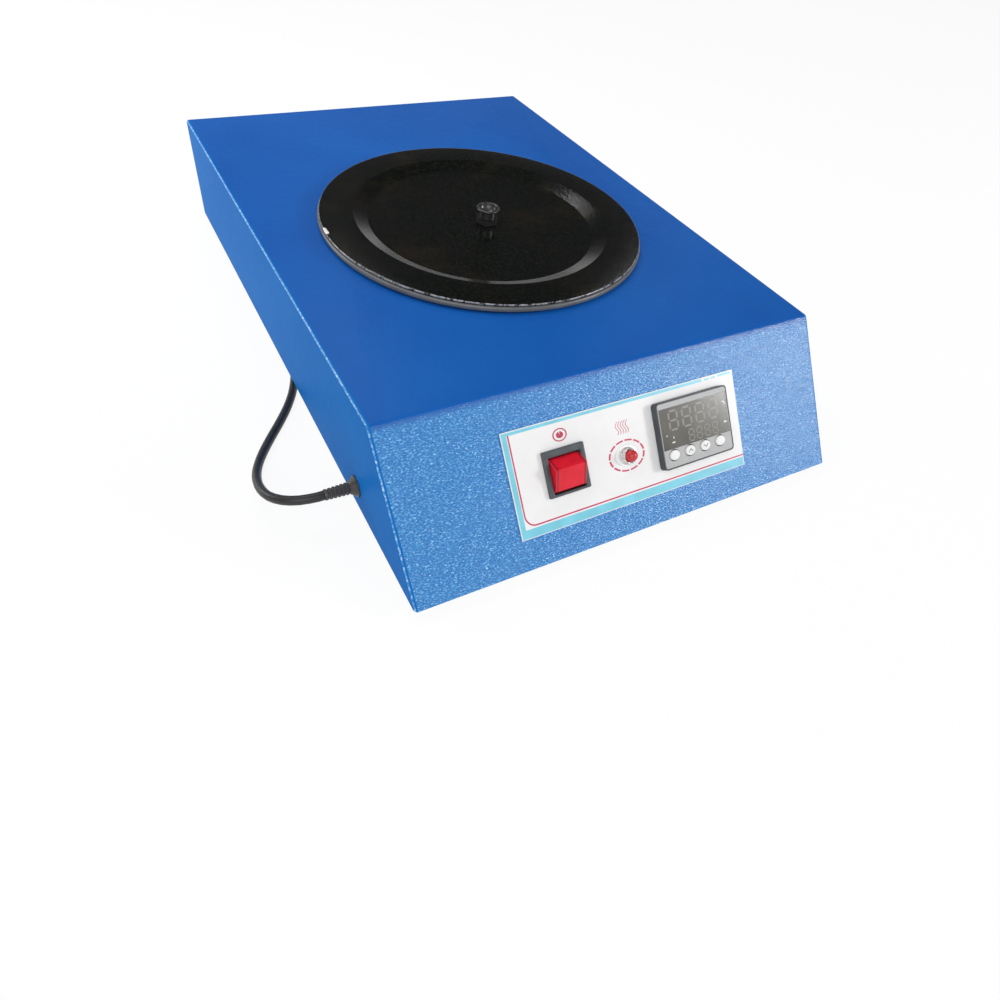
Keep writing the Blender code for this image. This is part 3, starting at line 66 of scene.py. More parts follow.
# Mains lead. A round black flexible cord of three cores. It leaves the sleeve in the left side, bends
# down to the table, runs back beside the housing, and the rest of it is wound in a coil behind it.
def wire(material, kind, sockets=(), **settings):
    """One node of a finish: its settings, then each socket's value or the output that feeds it."""
    made = material.node_tree.nodes.new(kind)
    for name, value in settings.items():
        setattr(made, name, value)
    for name, value in dict(sockets).items():
        if isinstance(value, bpy.types.NodeSocket):
            material.node_tree.links.new(value, made.inputs[name])
        else:
            made.inputs[name].default_value = value
    return made


def feed(material, output, name):
    """Leads an output into a socket of the finish's shader."""
    shader = material.node_tree.nodes["Principled BSDF"]
    material.node_tree.links.new(output, shader.inputs[name])


def finish_of(name, roughness, specular, metallic=0.0):
    """A finish whose even values sit on its shader's own sockets."""
    material = bpy.data.materials.new(name)
    material.use_nodes = True
    shader = material.node_tree.nodes["Principled BSDF"]
    shader.inputs["Roughness"].default_value = roughness
    shader.inputs["Metallic"].default_value = metallic
    shader.inputs["Specular IOR Level"].default_value = specular
    return material


def noise_on(material, size, detail, distortion=0.0):
    """Noise on Object coordinates, whose blobs are about size metres across."""
    where = wire(material, "ShaderNodeTexCoord").outputs["Object"]
    sockets = {"Vector": where, "Scale": 1 / size, "Detail": detail, "Distortion": distortion}
    return wire(material, "ShaderNodeTexNoise", sockets).outputs["Fac"]


def shades(material, amount, *stops):
    """A colour ramp: each stop is a place from 0 to 1 and a linear colour."""
    made = wire(material, "ShaderNodeValToRGB", {"Fac": amount})
    ramp = made.color_ramp
    ramp.elements[0].position, ramp.elements[1].position = stops[0][0], stops[-1][0]
    ramp.elements[0].color, ramp.elements[1].color = (*stops[0][1], 1), (*stops[-1][1], 1)
    for place, colour in stops[1:-1]:
        ramp.elements.new(place).color = (*colour, 1)
    return made.outputs["Color"]


def span(material, amount, low, high):
    """An amount from 0 to 1, stretched to run from low to high."""
    return wire(material, "ShaderNodeMapRange", {"Value": amount, "To Min": low, "To Max": high}).outputs[0]


def relief(material, *heights):
    """Bumps one on another: each is an output with its height in metres."""
    normal = None
    for output, depth in heights:
        sockets = {"Height": output, "Distance": depth}
        if normal:
            sockets["Normal"] = normal
        normal = wire(material, "ShaderNodeBump", sockets).outputs["Normal"]
    feed(material, normal, "Normal")


def grained(name, colour, roughness, grain, depth, metallic=0.0, specular=0.5, mottle=0.12):
    """A moulded or plated finish: a fine grain in its surface, and a slight mottle in colour and gloss."""
    material = finish_of(name, roughness, specular, metallic)
    fine = noise_on(material, grain, 3)
    broad = noise_on(material, grain * 14, 3)
    darker = [c * (1 - mottle) for c in colour]
    lighter = [c * (1 + mottle) for c in colour]
    feed(material, shades(material, broad, (0.35, darker), (0.65, lighter)), "Base Color")
    feed(material, span(material, broad, roughness - 0.06, roughness + 0.06), "Roughness")
    relief(material, (fine, depth))
    return material


cord_pvc = grained("cord_pvc", (0.016, 0.016, 0.017), 0.42, 0.0009, 0.00006)
CORD_RADIUS = 0.0030
CORD_EXIT = (-0.1826, -0.1535, 0.0236)
CORD_ROUTE = (
    CORD_EXIT,
    (-0.1865, -0.1535, 0.0236),
    (-0.1968, -0.1514, 0.0229),
    (-0.2056, -0.1456, 0.0207),
    (-0.2114, -0.1368, 0.0176),
    (-0.2135, -0.1265, 0.0141),
    (-0.2132, -0.1160, 0.0107),
    (-0.2108, -0.1050, 0.0077),
    (-0.2062, -0.0940, 0.0053),
    (-0.1998, -0.0830, 0.0038),
    (-0.1920, -0.0720, 0.0031),
    (-0.1830, -0.0605, 0.0031),
    (-0.1740, -0.0480, 0.0031),
    (-0.1655, -0.0335, 0.0031),
    (-0.1585, -0.0170, 0.0031),
    (-0.1530, 0.0020, 0.0031),
    (-0.1490, 0.0250, 0.0031),
    (-0.1462, 0.0550, 0.0031),
    (-0.1448, 0.0950, 0.0031),
    (-0.1445, 0.1400, 0.0031),
    (-0.1445, 0.1750, 0.0031),
    (-0.1442, 0.2000, 0.0031),
    (-0.1405, 0.2185, 0.0031),
    (-0.1300, 0.2344, 0.0032),
    (-0.1140, 0.2450, 0.0036),
    (-0.0950, 0.2488, 0.0040),
    (-0.0780, 0.2490, 0.0042),
    (-0.0663, 0.2490, 0.0042),
)
COIL_CENTRE = Vector((-0.060, 0.290, 0))
COIL_RADIUS = 0.041
COIL_PITCH = 0.0067
COIL_TURNS_IN = 2.5
COIL_TURNS = 5
COIL_LOW = 0.0042
COIL_REVERSAL = 0.12
COIL_STEPS = 40
LEAD_STEP = 0.0045
TAIL_HEADING = math.radians(30)
TAIL_LENGTH = 0.024
TAIL_STEPS = 8
PLUG_ENTRY_HEIGHT = 0.0120


def smooth_step(t):
    """Eases a share from 0 to 1 in and out."""
    return t * t * (3 - 2 * t)


def smooth_route(route, step):
    """Points about a step apart on one smooth curve through the route's own points."""
    points = [Vector(p) for p in route]
    ghosts = [points[0] * 2 - points[1]] + points + [points[-1] * 2 - points[-2]]
    made = [points[0]]
    for before, start, end, after in zip(ghosts, ghosts[1:], ghosts[2:], ghosts[3:]):
        parts = max(1, round((end - start).length / step))
        for k in range(1, parts + 1):
            t = k / parts
            leave = (end - before) / 2 * (t**3 - 2 * t**2 + t)
            arrive = (after - start) / 2 * (t**3 - t**2)
            made.append(start * (1 - smooth_step(t)) + end * smooth_step(t) + leave + arrive)
    return made


def coil_point(turns):
    """Inwards on the lower layer, up round the reversal, and outwards on the upper layer."""
    from_reversal = turns - COIL_TURNS_IN
    innermost = COIL_RADIUS - COIL_PITCH * COIL_TURNS_IN
    radius = innermost + COIL_PITCH * math.hypot(from_reversal, COIL_REVERSAL)
    climbed = smooth_step(min(1, max(0, from_reversal / 0.5 + 0.5)))
    angle = math.tau * turns - math.pi / 2
    around = Vector((math.cos(angle), math.sin(angle), 0)) * radius
    return COIL_CENTRE + around + Vector((0, 0, COIL_LOW + COIL_PITCH * climbed))


turns = COIL_TURNS + TAIL_HEADING / math.tau
coil_steps = round(turns * COIL_STEPS)
lead_line = smooth_route(CORD_ROUTE, LEAD_STEP)
lead_line += [coil_point(turns * k / coil_steps) for k in range(coil_steps + 1)]
tail_way = Vector((math.cos(TAIL_HEADING), math.sin(TAIL_HEADING), 0))
tail_start = lead_line[-1]
for k in range(1, TAIL_STEPS + 1):
    rise = (PLUG_ENTRY_HEIGHT - tail_start.z) * smooth_step(k / TAIL_STEPS)
    lead_line.append(tail_start + tail_way * TAIL_LENGTH * k / TAIL_STEPS + Vector((0, 0, rise)))
lead_end = lead_line[-1] + tail_way * CORD_RADIUS * 2
lead_line.append(lead_end)

lead_curve = bpy.data.curves.new("mains_lead", "CURVE")
lead_curve.dimensions = "3D"
lead_curve.bevel_depth = CORD_RADIUS
lead_curve.bevel_resolution = 4
lead_curve.use_fill_caps = True
lead_spline = lead_curve.splines.new("POLY")
lead_spline.points.add(len(lead_line) - 1)
for spot, point in zip(lead_spline.points, lead_line):
    spot.co = (*point, 1)
lead_spline.use_smooth = True
lead_curve.materials.append(cord_pvc)
mains_lead = bpy.data.objects.new("mains_lead", lead_curve)
bpy.context.scene.collection.objects.link(mains_lead)
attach(mains_lead, "root")
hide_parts("mains_cord", "cord_coil")

# Cable sleeve. A soft black rubber moulding that snaps into the hole in the left side: a flange, a short
# cone, and a long ribbed taper that keeps the lead from kinking where it leaves the housing.
ENTRY = Vector((-0.162, *CORD_EXIT[1:]))
SLEEVE_END = 0.0203
RIBS = 6
RIBS_START, RIBS_END = 0.0046, 0.0199
RIB_DEPTH = 0.0005
sleeve_rubber = grained(
    "black_rubber", (0.042, 0.038, 0.034), 0.44, 0.0009, 0.00005, specular=0.6, mottle=0.3
)


def turned(profile, steps):
    """A bmesh turned about Z from (radius, height) points that begin and end on the axis."""
    bm = bmesh.new()
    verts = [bm.verts.new((radius, 0, height)) for radius, height in profile]
    edges = [bm.edges.new(pair) for pair in zip(verts, verts[1:])]
    turning = {"axis": (0, 0, 1), "angle": math.tau, "steps": steps}
    bmesh.ops.spin(bm, geom=verts + edges, use_merge=True, **turning)
    bmesh.ops.remove_doubles(bm, verts=bm.verts, dist=0.000001)
    bmesh.ops.recalc_face_normals(bm, faces=bm.faces)
    return bm


def rounded(centre, radius, start, end, steps):
    """Points of a rounded corner in a profile, with its angles in degrees."""
    angles = [math.radians(start + (end - start) * k / steps) for k in range(steps + 1)]
    return [(centre[0] + radius * math.cos(a), centre[1] + radius * math.sin(a)) for a in angles]


def made_of(bm, name, *finishes, sharp=35):
    """The finished piece of a bmesh, shaded smooth over every edge flatter than sharp degrees."""
    mesh = bpy.data.meshes.new(name)
    bm.to_mesh(mesh)
    bm.free()
    mesh.shade_smooth()
    mesh.set_sharp_from_angle(angle=math.radians(sharp))
    for finish in finishes:
        mesh.materials.append(finish)
    made = bpy.data.objects.new(name, mesh)
    bpy.context.scene.collection.objects.link(made)
    return made


def settle(made, body, slot, *nodes):
    """The piece rides on its body and stands for its nodes, which it hides. Its slot is not used."""
    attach(made, body)
    if nodes:
        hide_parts(*nodes)
    return made


sleeve = [(0, -0.0038), (0.0062, -0.0038), (0.0065, -0.0035), (0.0065, -0.0018), (0.0048, -0.0018)]
sleeve += [(0.0048, 0.0003), (0.0070, 0.0003)] + rounded((0.0066, 0.0008), 0.0004, 0, 90, 3)
sleeve += [(0.0060, 0.0014), (0.0044, 0.0040), (0.00405, RIBS_START)]
rib_pitch = (RIBS_END - RIBS_START) / RIBS
for k in range(RIBS):
    low = RIBS_START + 0.0002 + rib_pitch * k
    girth = 0.0039 - 0.0005 * k / RIBS
    sleeve += [(girth - RIB_DEPTH, low + 0.0001), (girth - RIB_DEPTH, low + 0.0007)]
    sleeve += [(girth, low + 0.0010), (girth, low + rib_pitch - 0.0003)]
sleeve += [(0.0032, SLEEVE_END), (0, SLEEVE_END)]
bm = turned(sleeve, 40)
bmesh.ops.rotate(bm, verts=bm.verts, matrix=Matrix.Rotation(-math.pi / 2, 3, "Y"))
bmesh.ops.translate(bm, verts=bm.verts, vec=ENTRY)
cable_sleeve = settle(made_of(bm, "cable_sleeve", sleeve_rubber), "root", "black_rubber", "cable_grommet")

# Tie and plug. A soft strap holds the coil together, and a moulded three-pin plug with a tapered back
# lies beside it: black plastic round three solid brass pins, the earth pin longer and thicker.
brass = grained("brass", (0.72, 0.53, 0.22), 0.24, 0.0008, 0.00002, metallic=1.0)
TIE_WALL = 0.0009
TIE_CORNER = 0.0042
PLUG_BLOCK = ((0.016, -0.020, 0), (0.052, 0.020, 0.036))
PLUG_SHOULDER = 0.0358
PLUG_TAPER = 0.45
PLUG_CORNER = 0.0028
PLUG_GAP = 0.0003
BOOT_END = 0.0190
BOOT_RIBS, BOOT_PITCH = 4, 0.0030
PINS = ("plug_pin_live", "plug_pin_neutral", "plug_pin_earth")
rounding = {"segments": 6, "profile": 0.5, "affect": "EDGES", "clamp_overlap": True, "material": -1}


def block(low, high):
    """A bmesh box between two corners."""
    bm = bmesh.new()
    bmesh.ops.create_cube(bm, size=1)
    bmesh.ops.scale(bm, verts=bm.verts, vec=Vector(high) - Vector(low))
    bmesh.ops.translate(bm, verts=bm.verts, vec=(Vector(low) + Vector(high)) / 2)
    return bm


def cut_across(bm, x):
    """Cuts every face of a bmesh along the plane at one x."""
    geom = bm.verts[:] + bm.edges[:] + bm.faces[:]
    bmesh.ops.bisect_plane(bm, geom=geom, plane_co=(x, 0, 0), plane_no=(1, 0, 0))


def thicken(made, thickness, offset=-1):
    """Gives a sheet its thickness: inwards, or outwards with an offset of 1."""
    wall = made.modifiers.new("sheet", "SOLIDIFY")
    wall.thickness = thickness
    wall.offset = offset
    wall.use_even_offset = True


bm = block(*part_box("cord_tie"))
ends = [f for f in bm.faces if abs(f.normal.y) > 0.9]
bmesh.ops.delete(bm, geom=ends, context="FACES")
corners = [e for e in bm.edges if not e.is_boundary]
bmesh.ops.bevel(bm, geom=corners, offset=TIE_CORNER, **rounding)
cord_tie = made_of(bm, "coil_tie", cord_pvc)
thicken(cord_tie, TIE_WALL)
settle(cord_tie, "root", "cord_pvc", "cord_tie")

plug_spot = lead_end + tail_way * PLUG_GAP
plug_turn = Matrix.Rotation(TAIL_HEADING, 4, "Z")
plug_place = Matrix.Translation((plug_spot.x, plug_spot.y, 0)) @ plug_turn
bm = block(*PLUG_BLOCK)
cut_across(bm, PLUG_SHOULDER)
back = [v for v in bm.verts if v.co.x < 0.02]
bmesh.ops.scale(bm, verts=back, vec=(1, PLUG_TAPER, 1))
plug_edges = [e for e in bm.edges if e.calc_face_angle() > 0.3]
bmesh.ops.bevel(bm, geom=plug_edges, offset=PLUG_CORNER, **(rounding | {"segments": 4}))
plug_body = made_of(bm, "plug_moulding", cord_pvc)
plug_body.data.transform(plug_place)
settle(plug_body, "root", "cord_pvc", "plug_body")
boot = [(0, 0), (0.0040, 0), (0.0041, 0.0012)]
for k in range(BOOT_RIBS):
    low = 0.0016 + BOOT_PITCH * k
    girth = 0.0043 + 0.0003 * k
    boot += [(girth - RIB_DEPTH, low), (girth - RIB_DEPTH, low + 0.0009)]
    boot += [(girth, low + 0.0012), (girth, low + 0.0027)]
boot += [(0.0052, 0.0145), (0.0052, BOOT_END), (0, BOOT_END)]
bm = turned(boot, 32)
bmesh.ops.rotate(bm, verts=bm.verts, matrix=Matrix.Rotation(math.pi / 2, 3, "Y"))
bmesh.ops.translate(bm, verts=bm.verts, vec=(0, 0, PLUG_ENTRY_HEIGHT))
bm.transform(plug_place)
plug_boot = settle(made_of(bm, "plug_boot", cord_pvc), "root", "cord_pvc")
for pin in PINS:
    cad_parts[pin].data.materials[0] = brass

# Bench and light. A white bench top and a pale studio, dim only where the glossy lid mirrors it, with six
# soft boxes: a large one over the front left, one at the front right that shines on the sloped panel, one
# for the left side, one overhead for the back of the top, and two small ones that catch the lid's recess.
BENCH_HALF = 6
CLEAR_SHARE = 0.86
HORIZON_GREYS = ((0.0, 0.92), (0.13, 0.78), (0.21, 0.17), (0.32, 0.05), (1.0, 0.05))
DOME_GREYS = ((0.0, 0.50), (0.50, 0.46), (0.66, 0.20), (0.80, 0.05))
DARK_WAY = (0.46, 0.78, 0.42)


def reckon(material, operation, *values):
    """What a Math node makes of its values."""
    return wire(material, "ShaderNodeMath", dict(enumerate(values)), operation=operation).outputs[0]


def reckon_way(material, operation, *values, output="Vector"):
    """What a Vector Math node makes of its values."""
    made = wire(material, "ShaderNodeVectorMath", dict(enumerate(values)), operation=operation)
    return made.outputs[output]


bm = bmesh.new()
bmesh.ops.create_grid(bm, x_segments=1, y_segments=1, size=BENCH_HALF)
bench_white = finish_of("bench_white", 0.9, specular=0.1)
bench_nodes = bench_white.node_tree.nodes
bench_nodes["Principled BSDF"].inputs["Base Color"].default_value = (0.88, 0.88, 0.88, 1)
seen = wire(bench_white, "ShaderNodeLightPath").outputs
clear = reckon(bench_white, "MAXIMUM", seen["Is Camera Ray"], seen["Is Glossy Ray"])
clear = reckon(bench_white, "MAXIMUM", clear, seen["Is Transmission Ray"])
clear = reckon(bench_white, "MULTIPLY", clear, CLEAR_SHARE)
glow = wire(bench_white, "ShaderNodeEmission", {"Color": (1, 1, 1, 1), "Strength": 1.03}).outputs[0]
blend = {0: clear, 1: bench_nodes["Principled BSDF"].outputs[0], 2: glow}
blend = wire(bench_white, "ShaderNodeMixShader", blend).outputs[0]
bench_white.node_tree.links.new(blend, bench_nodes["Material Output"].inputs["Surface"])
made_of(bm, "bench_top", bench_white)

sky = bpy.data.worlds.new("studio")
bpy.context.scene.world = sky
sky.use_nodes = True
sky_way = wire(sky, "ShaderNodeTexCoord").outputs["Generated"]
way_up = wire(sky, "ShaderNodeSeparateXYZ", {0: sky_way}).outputs["Z"]
towards_dark = reckon_way(sky, "DOT_PRODUCT", sky_way, DARK_WAY, output="Value")
horizon = shades(sky, way_up, *((place, (grey,) * 3) for place, grey in HORIZON_GREYS))
dome = shades(sky, towards_dark, *((place, (grey,) * 3) for place, grey in DOME_GREYS))
brighter = reckon(sky, "MAXIMUM", horizon, dome)
sky.node_tree.links.new(brighter, sky.node_tree.nodes["Background"].inputs["Color"])


def soft_box(name, way, distance, size, power, towards=(0, 0, 0.05)):
    """A square soft box in a direction from the object, turned to face it."""
    lamp = bpy.data.lights.new(name, "AREA")
    lamp.shape = "RECTANGLE"
    lamp.size, lamp.size_y = size
    lamp.energy = power
    made = bpy.data.objects.new(name, lamp)
    spot = Vector(towards) + Vector(way).normalized() * distance
    turn = (Vector(towards) - spot).to_track_quat("-Z", "Y")
    made.matrix_world = Matrix.Translation(spot) @ turn.to_matrix().to_4x4()
    bpy.context.scene.collection.objects.link(made)


soft_box("main_box", (-0.45, -0.62, 0.64), 2.6, (2.0, 1.8), 24.5)
soft_box("front_box", (0.80, -0.50, 0.42), 2.2, (0.46, 0.46), 15.5, (0, -0.2, 0.05))
soft_box("left_box", (-0.88, 0.40, 0.34), 0.90, (0.5, 0.35), 2.6, (0, 0.38, 0.05))
soft_box("high_box", (-0.27, -0.05, 0.96), 0.75, (0.5, 0.5), 2.0, (0, 0.36, 0.05))
soft_box("back_box", (0.16, 0.71, 0.68), 1.6, (0.10, 0.20), 0.95)
soft_box("recess_box", (0.66, 0.50, 0.56), 1.6, (0.16, 0.16), 0.24)

# Housing. One sheet of 1.5 mm steel folded into a low desk, with its seams welded and dressed: a leathery
# powder coat on the sloped front, a smoother one on the top and sides, and pale speckled lines painted
# along the folds as highlights where the bends catch the light.
shell_low, shell_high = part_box("housing_shell")
SLOPE_DEPTH = 0.070
SHEET = 0.0015
FOLD = 0.0022
slope_angle = math.atan2(shell_high.z - shell_low.z, SLOPE_DEPTH)
panel = Matrix.Translation(shell_low) @ Matrix.Rotation(slope_angle, 4, "X")
BATH = Vector((0, 0.008, 0))
BASIN_HOLE = 0.1022
SWITCH_HOLE = (0.0270, 0.0248)
SWITCH_SPOT = (0.1110, 0.0505)
LAMP_SPOT = (0.1560, 0.0487)
LAMP_HOLE = 0.0043
CASE_HOLE = (0.0526, 0.0396)
CASE_SPOT = (0.2081, 0.0538)


def satin_blue(name, deep, pale, roughness, specular):
    """Smooth powder coat: a soft drift of shade, a faint orange peel and a little dust."""
    material = finish_of(name, roughness, specular=specular)
    drift = noise_on(material, 0.09, 3)
    feed(material, shades(material, drift, (0.3, deep), (0.72, pale)), "Base Color")
    dust = noise_on(material, 0.004, 3)
    feed(material, span(material, dust, roughness - 0.05, roughness + 0.07), "Roughness")
    relief(material, (noise_on(material, 0.0035, 1), 0.00012), (noise_on(material, 0.0007, 1), 0.00003))
    return material


def risen(material, amount, low, high, **settings):
    """Nothing where an amount is at low, rising to 1 where it is at high."""
    sockets = {"Value": amount, "From Min": low, "From Max": high}
    return wire(material, "ShaderNodeMapRange", sockets, **settings).outputs[0]


def painted(material, share, under, colour):
    """One plain colour over another coat, by a share from 0 to 1."""
    sockets = {"Fac": share, "Color1": under, "Color2": (*colour, 1)}
    return wire(material, "ShaderNodeMixRGB", sockets).outputs[0]


top_blue = satin_blue("blue_powder_coat", (0.006, 0.094, 0.405), (0.008, 0.113, 0.45), 0.36, 0.12)
# The sides take a paler copy of the top's blue: painted light, for the light the sides catch.
side_blue_painted_lighter = satin_blue("blue_side_coat_painted_lighter", (0.008, 0.142, 0.48), (0.013, 0.168, 0.52), 0.45, 0.012)

# The crease tones run from the coat's own blue to pale crests and near-white glints: painted highlights of
# the wrinkles.
LEATHER_DEEP = (0.010, 0.150, 0.47)
LEATHER_MIDDLE = (0.024, 0.212, 0.56)
LEATHER_PAINTED_HIGHLIGHT = (0.12, 0.44, 0.80)
LEATHER_PAINTED_GLINT = (0.40, 0.70, 0.94)
CREASE_LONG, CREASE_WIDE = 0.0015, 0.0007
BEND = 0.0862
BEND_BLUE = (0.005, 0.112, 0.43)
leather_blue = finish_of("blue_leather_coat", 0.30, specular=0.8)
where = wire(leather_blue, "ShaderNodeTexCoord").outputs["Object"]
lie = (-slope_angle, 0, math.radians(5))
laid = wire(leather_blue, "ShaderNodeMapping", {"Vector": where, "Rotation": lie}).outputs[0]
drawn = reckon_way(leather_blue, "MULTIPLY", laid, (1 / CREASE_LONG, 1 / CREASE_WIDE, 1 / CREASE_WIDE))
creased = {"Vector": drawn, "Scale": 1.0, "Detail": 1.0, "Distortion": 0.6}
wrinkle = wire(leather_blue, "ShaderNodeTexNoise", creased).outputs["Fac"]
crease_tones_and_highlights = ((0.34, LEATHER_DEEP), (0.53, LEATHER_MIDDLE), (0.67, LEATHER_PAINTED_HIGHLIGHT), (0.76, LEATHER_PAINTED_GLINT))
tone = shades(leather_blue, wrinkle, *crease_tones_and_highlights)
height = wire(leather_blue, "ShaderNodeSeparateXYZ", {0: where}).outputs["Z"]
thinning = risen(leather_blue, height, BEND - 0.0044, BEND - 0.0008, interpolation_type="SMOOTHSTEP")
feed(leather_blue, painted(leather_blue, thinning, tone, BEND_BLUE), "Base Color")
feed(leather_blue, span(leather_blue, noise_on(leather_blue, 0.03, 2), 0.20, 0.32), "Roughness")
relief(leather_blue, (wrinkle, 0.00042), (noise_on(leather_blue, 0.0005, 1), 0.00004))

# The folds' middle faces get a speckled pale blue: a painted highlight along each bend.
fold_highlight_blue = finish_of("blue_fold_painted_highlight", 0.36, specular=0.35)
fold_glint_speckle = noise_on(fold_highlight_blue, 0.0019, 5, 0.6)
FOLD_SOUND, FOLD_HALF_LIT, FOLD_HIGHLIGHT = (0.02, 0.17, 0.51), (0.12, 0.34, 0.67), (0.52, 0.72, 0.93)
tone = shades(fold_highlight_blue, fold_glint_speckle, (0.38, FOLD_SOUND), (0.53, FOLD_HALF_LIT), (0.68, FOLD_HIGHLIGHT))
feed(fold_highlight_blue, tone, "Base Color")
relief(fold_highlight_blue, (fold_glint_speckle, 0.0003))


def loop_of(bm, points):
    """A closed loop of edges through flat points."""
    verts = [bm.verts.new(p) for p in points]
    return [bm.edges.new(pair) for pair in zip(verts, verts[1:] + verts[:1])]


def oblong(size, spot, n):
    """The corners of a rectangle about a spot on the panel."""
    half_u, half_v = size[0] / 2, size[1] / 2
    signs = ((-1, -1), (1, -1), (1, 1), (-1, 1))
    return [(spot[0] + a * half_u, spot[1] + b * half_v, n) for a, b in signs]


def oval(size, spot, steps, n):
    """Points round an oval about a spot on the panel."""
    angles = [math.tau * k / steps for k in range(steps)]
    return [(spot[0] + size[0] / 2 * math.cos(a), spot[1] + size[1] / 2 * math.sin(a), n) for a in angles]


def fill_round(bm, rim, holes):
    """Fills the flat sheet between its rim and its holes."""
    edges = list(rim) + [e for hole in holes for e in hole]
    bmesh.ops.triangle_fill(bm, edges=edges, use_beauty=True)


def refill(bm, facing_way, holes):
    """Takes out the widest face that looks one way, and fills it again round its holes."""
    chosen = max((f for f in bm.faces if f.normal.dot(facing_way) > 0.99), key=lambda f: f.calc_area())
    rim = list(chosen.edges)
    bmesh.ops.delete(bm, geom=[chosen], context="FACES_ONLY")
    fill_round(bm, rim, holes)


def panel_cuts(n=0.0):
    """The outlines of the holes for switch, lamp and controller, at a height above the slope's skin."""
    lamp_hole = oval((LAMP_HOLE * 2, LAMP_HOLE * 2), LAMP_SPOT, 24, n)
    return [oblong(SWITCH_HOLE, SWITCH_SPOT, n), lamp_hole, oblong(CASE_HOLE, CASE_SPOT, n)]


def even_faces(made):
    """Keeps the shading of flat faces flat beside their rounded edges."""
    even = made.modifiers.new("even_faces", "WEIGHTED_NORMAL")
    even.keep_sharp = True


bm = block(shell_low, shell_high)
leaning = [v for v in bm.verts if v.co.y < 0 and v.co.z > 0.05]
bmesh.ops.translate(bm, verts=leaning, vec=(0, SLOPE_DEPTH, 0))
bmesh.ops.delete(bm, geom=[f for f in bm.faces if f.normal.z < -0.9], context="FACES")
folds = [e for e in bm.edges if not e.is_boundary]
bmesh.ops.bevel(bm, geom=folds, offset=FOLD, **rounding)
bm.normal_update()
out_of_panel = panel.to_3x3() @ Vector((0, 0, 1))
basin_hole = oval((BASIN_HOLE * 2, BASIN_HOLE * 2), (0, 0), 96, shell_high.z)
refill(bm, Vector((0, 0, 1)), [loop_of(bm, [BATH + Vector(p) for p in basin_hole])])
refill(bm, out_of_panel, [loop_of(bm, [panel @ Vector(p) for p in cut]) for cut in panel_cuts()])
bmesh.ops.recalc_face_normals(bm, faces=bm.faces)
bm.normal_update()
# The faces in the middle of each bend take the painted fold highlight.
TOP, SLOPE, HIGHLIT_FOLD, SIDE = range(4)
for face in bm.faces:
    if abs(face.normal.x) < 0.01 and face.normal.y < -0.01:
        face.material_index = SLOPE if face.normal.z < 0.82 else TOP
    elif abs(face.normal.x) > 0.999:
        face.material_index = SIDE
    elif max(face.normal.z, face.normal.y) < 0.999:
        lean = abs(face.normal.x) if abs(face.normal.x) > 0.05 else face.normal.y
        face.material_index = HIGHLIT_FOLD if 0.55 < lean < 0.85 else SIDE
housing = made_of(bm, "housing_skin", top_blue, leather_blue, fold_highlight_blue, side_blue_painted_lighter, sharp=50)
thicken(housing, SHEET)
even_faces(housing)
settle(housing, "root", "blue_powder_coat", "housing_shell")

bm = bmesh.new()
FLANGE = 0.014
FRONT_FROM, FRONT_TO = 0.003, 0.020
flange_z = shell_low.z + 0.0018
wide, deep = (shell_high.x - SHEET) * 2, (shell_high.y - SHEET) * 2
outer = oblong((wide, deep - FRONT_FROM), (0, FRONT_FROM / 2), flange_z)
inner_spot = (0, (FRONT_TO - FLANGE) / 2)
inner = oblong((wide - FLANGE * 2, deep - FRONT_TO - FLANGE), inner_spot, flange_z)
bmesh.ops.bridge_loops(bm, edges=loop_of(bm, outer) + loop_of(bm, inner))
bmesh.ops.recalc_face_normals(bm, faces=bm.faces)
flange = made_of(bm, "housing_flange", top_blue)
thicken(flange, SHEET, 1)
settle(flange, "root", "blue_powder_coat")

# Control label. A thin white film stuck on the slope and cut out round the switch, lamp and controller,
# screen printed with pale blue strips, a thin red line, and plain marks for power and heat.
LABEL_LOW = 0.0003
FILM = 0.0005
LABEL_SPOT = (0.16115, 0.0507)
LABEL_SIZE = (0.1753, 0.0640)
label_white = grained("label_film", (0.84, 0.835, 0.84), 0.34, 0.0012, 0.00002, specular=0.3, mottle=0.02)
label_red = grained("label_red_ink", (0.56, 0.045, 0.110), 0.34, 0.0008, 0.00001)
label_cyan = grained("label_pale_blue_ink", (0.20, 0.60, 0.74), 0.34, 0.0008, 0.00001, mottle=0.06)
# A grey for the thin ring round the lamp's white disc: a painted shadow, not ink.
label_painted_shadow = grained("label_painted_shadow_ring", (0.66, 0.65, 0.65), 0.34, 0.0008, 0.00001, mottle=0.03)
label_disc = grained("label_clear_white_ink", (0.95, 0.95, 0.95), 0.34, 0.0008, 0.00001, mottle=0.01)


def lifted(bm, vec):
    """Gives a flat sheet its thickness along one way, and turns its faces outwards."""
    pushed = bmesh.ops.extrude_face_region(bm, geom=bm.faces[:], use_keep_orig=True)["geom"]
    moved = [g for g in pushed if isinstance(g, bmesh.types.BMVert)]
    bmesh.ops.translate(bm, verts=moved, vec=vec)
    bmesh.ops.recalc_face_normals(bm, faces=bm.faces)
    bm.normal_update()


def plate(outline, holes, height):
    """A bmesh plate on its outline, cut out round its holes and as thick as its height."""
    bm = bmesh.new()
    rim = loop_of(bm, outline)
    fill_round(bm, rim, [loop_of(bm, hole) for hole in holes])
    lifted(bm, (0, 0, height))
    return bm


bm = plate(oblong(LABEL_SIZE, LABEL_SPOT, LABEL_LOW), panel_cuts(LABEL_LOW), FILM)
bm.transform(panel)
settle(made_of(bm, "control_label", label_white), "root", "label_film", "fascia_label")

INK = 0.00004
INK_FACE = LABEL_LOW + FILM + INK / 4


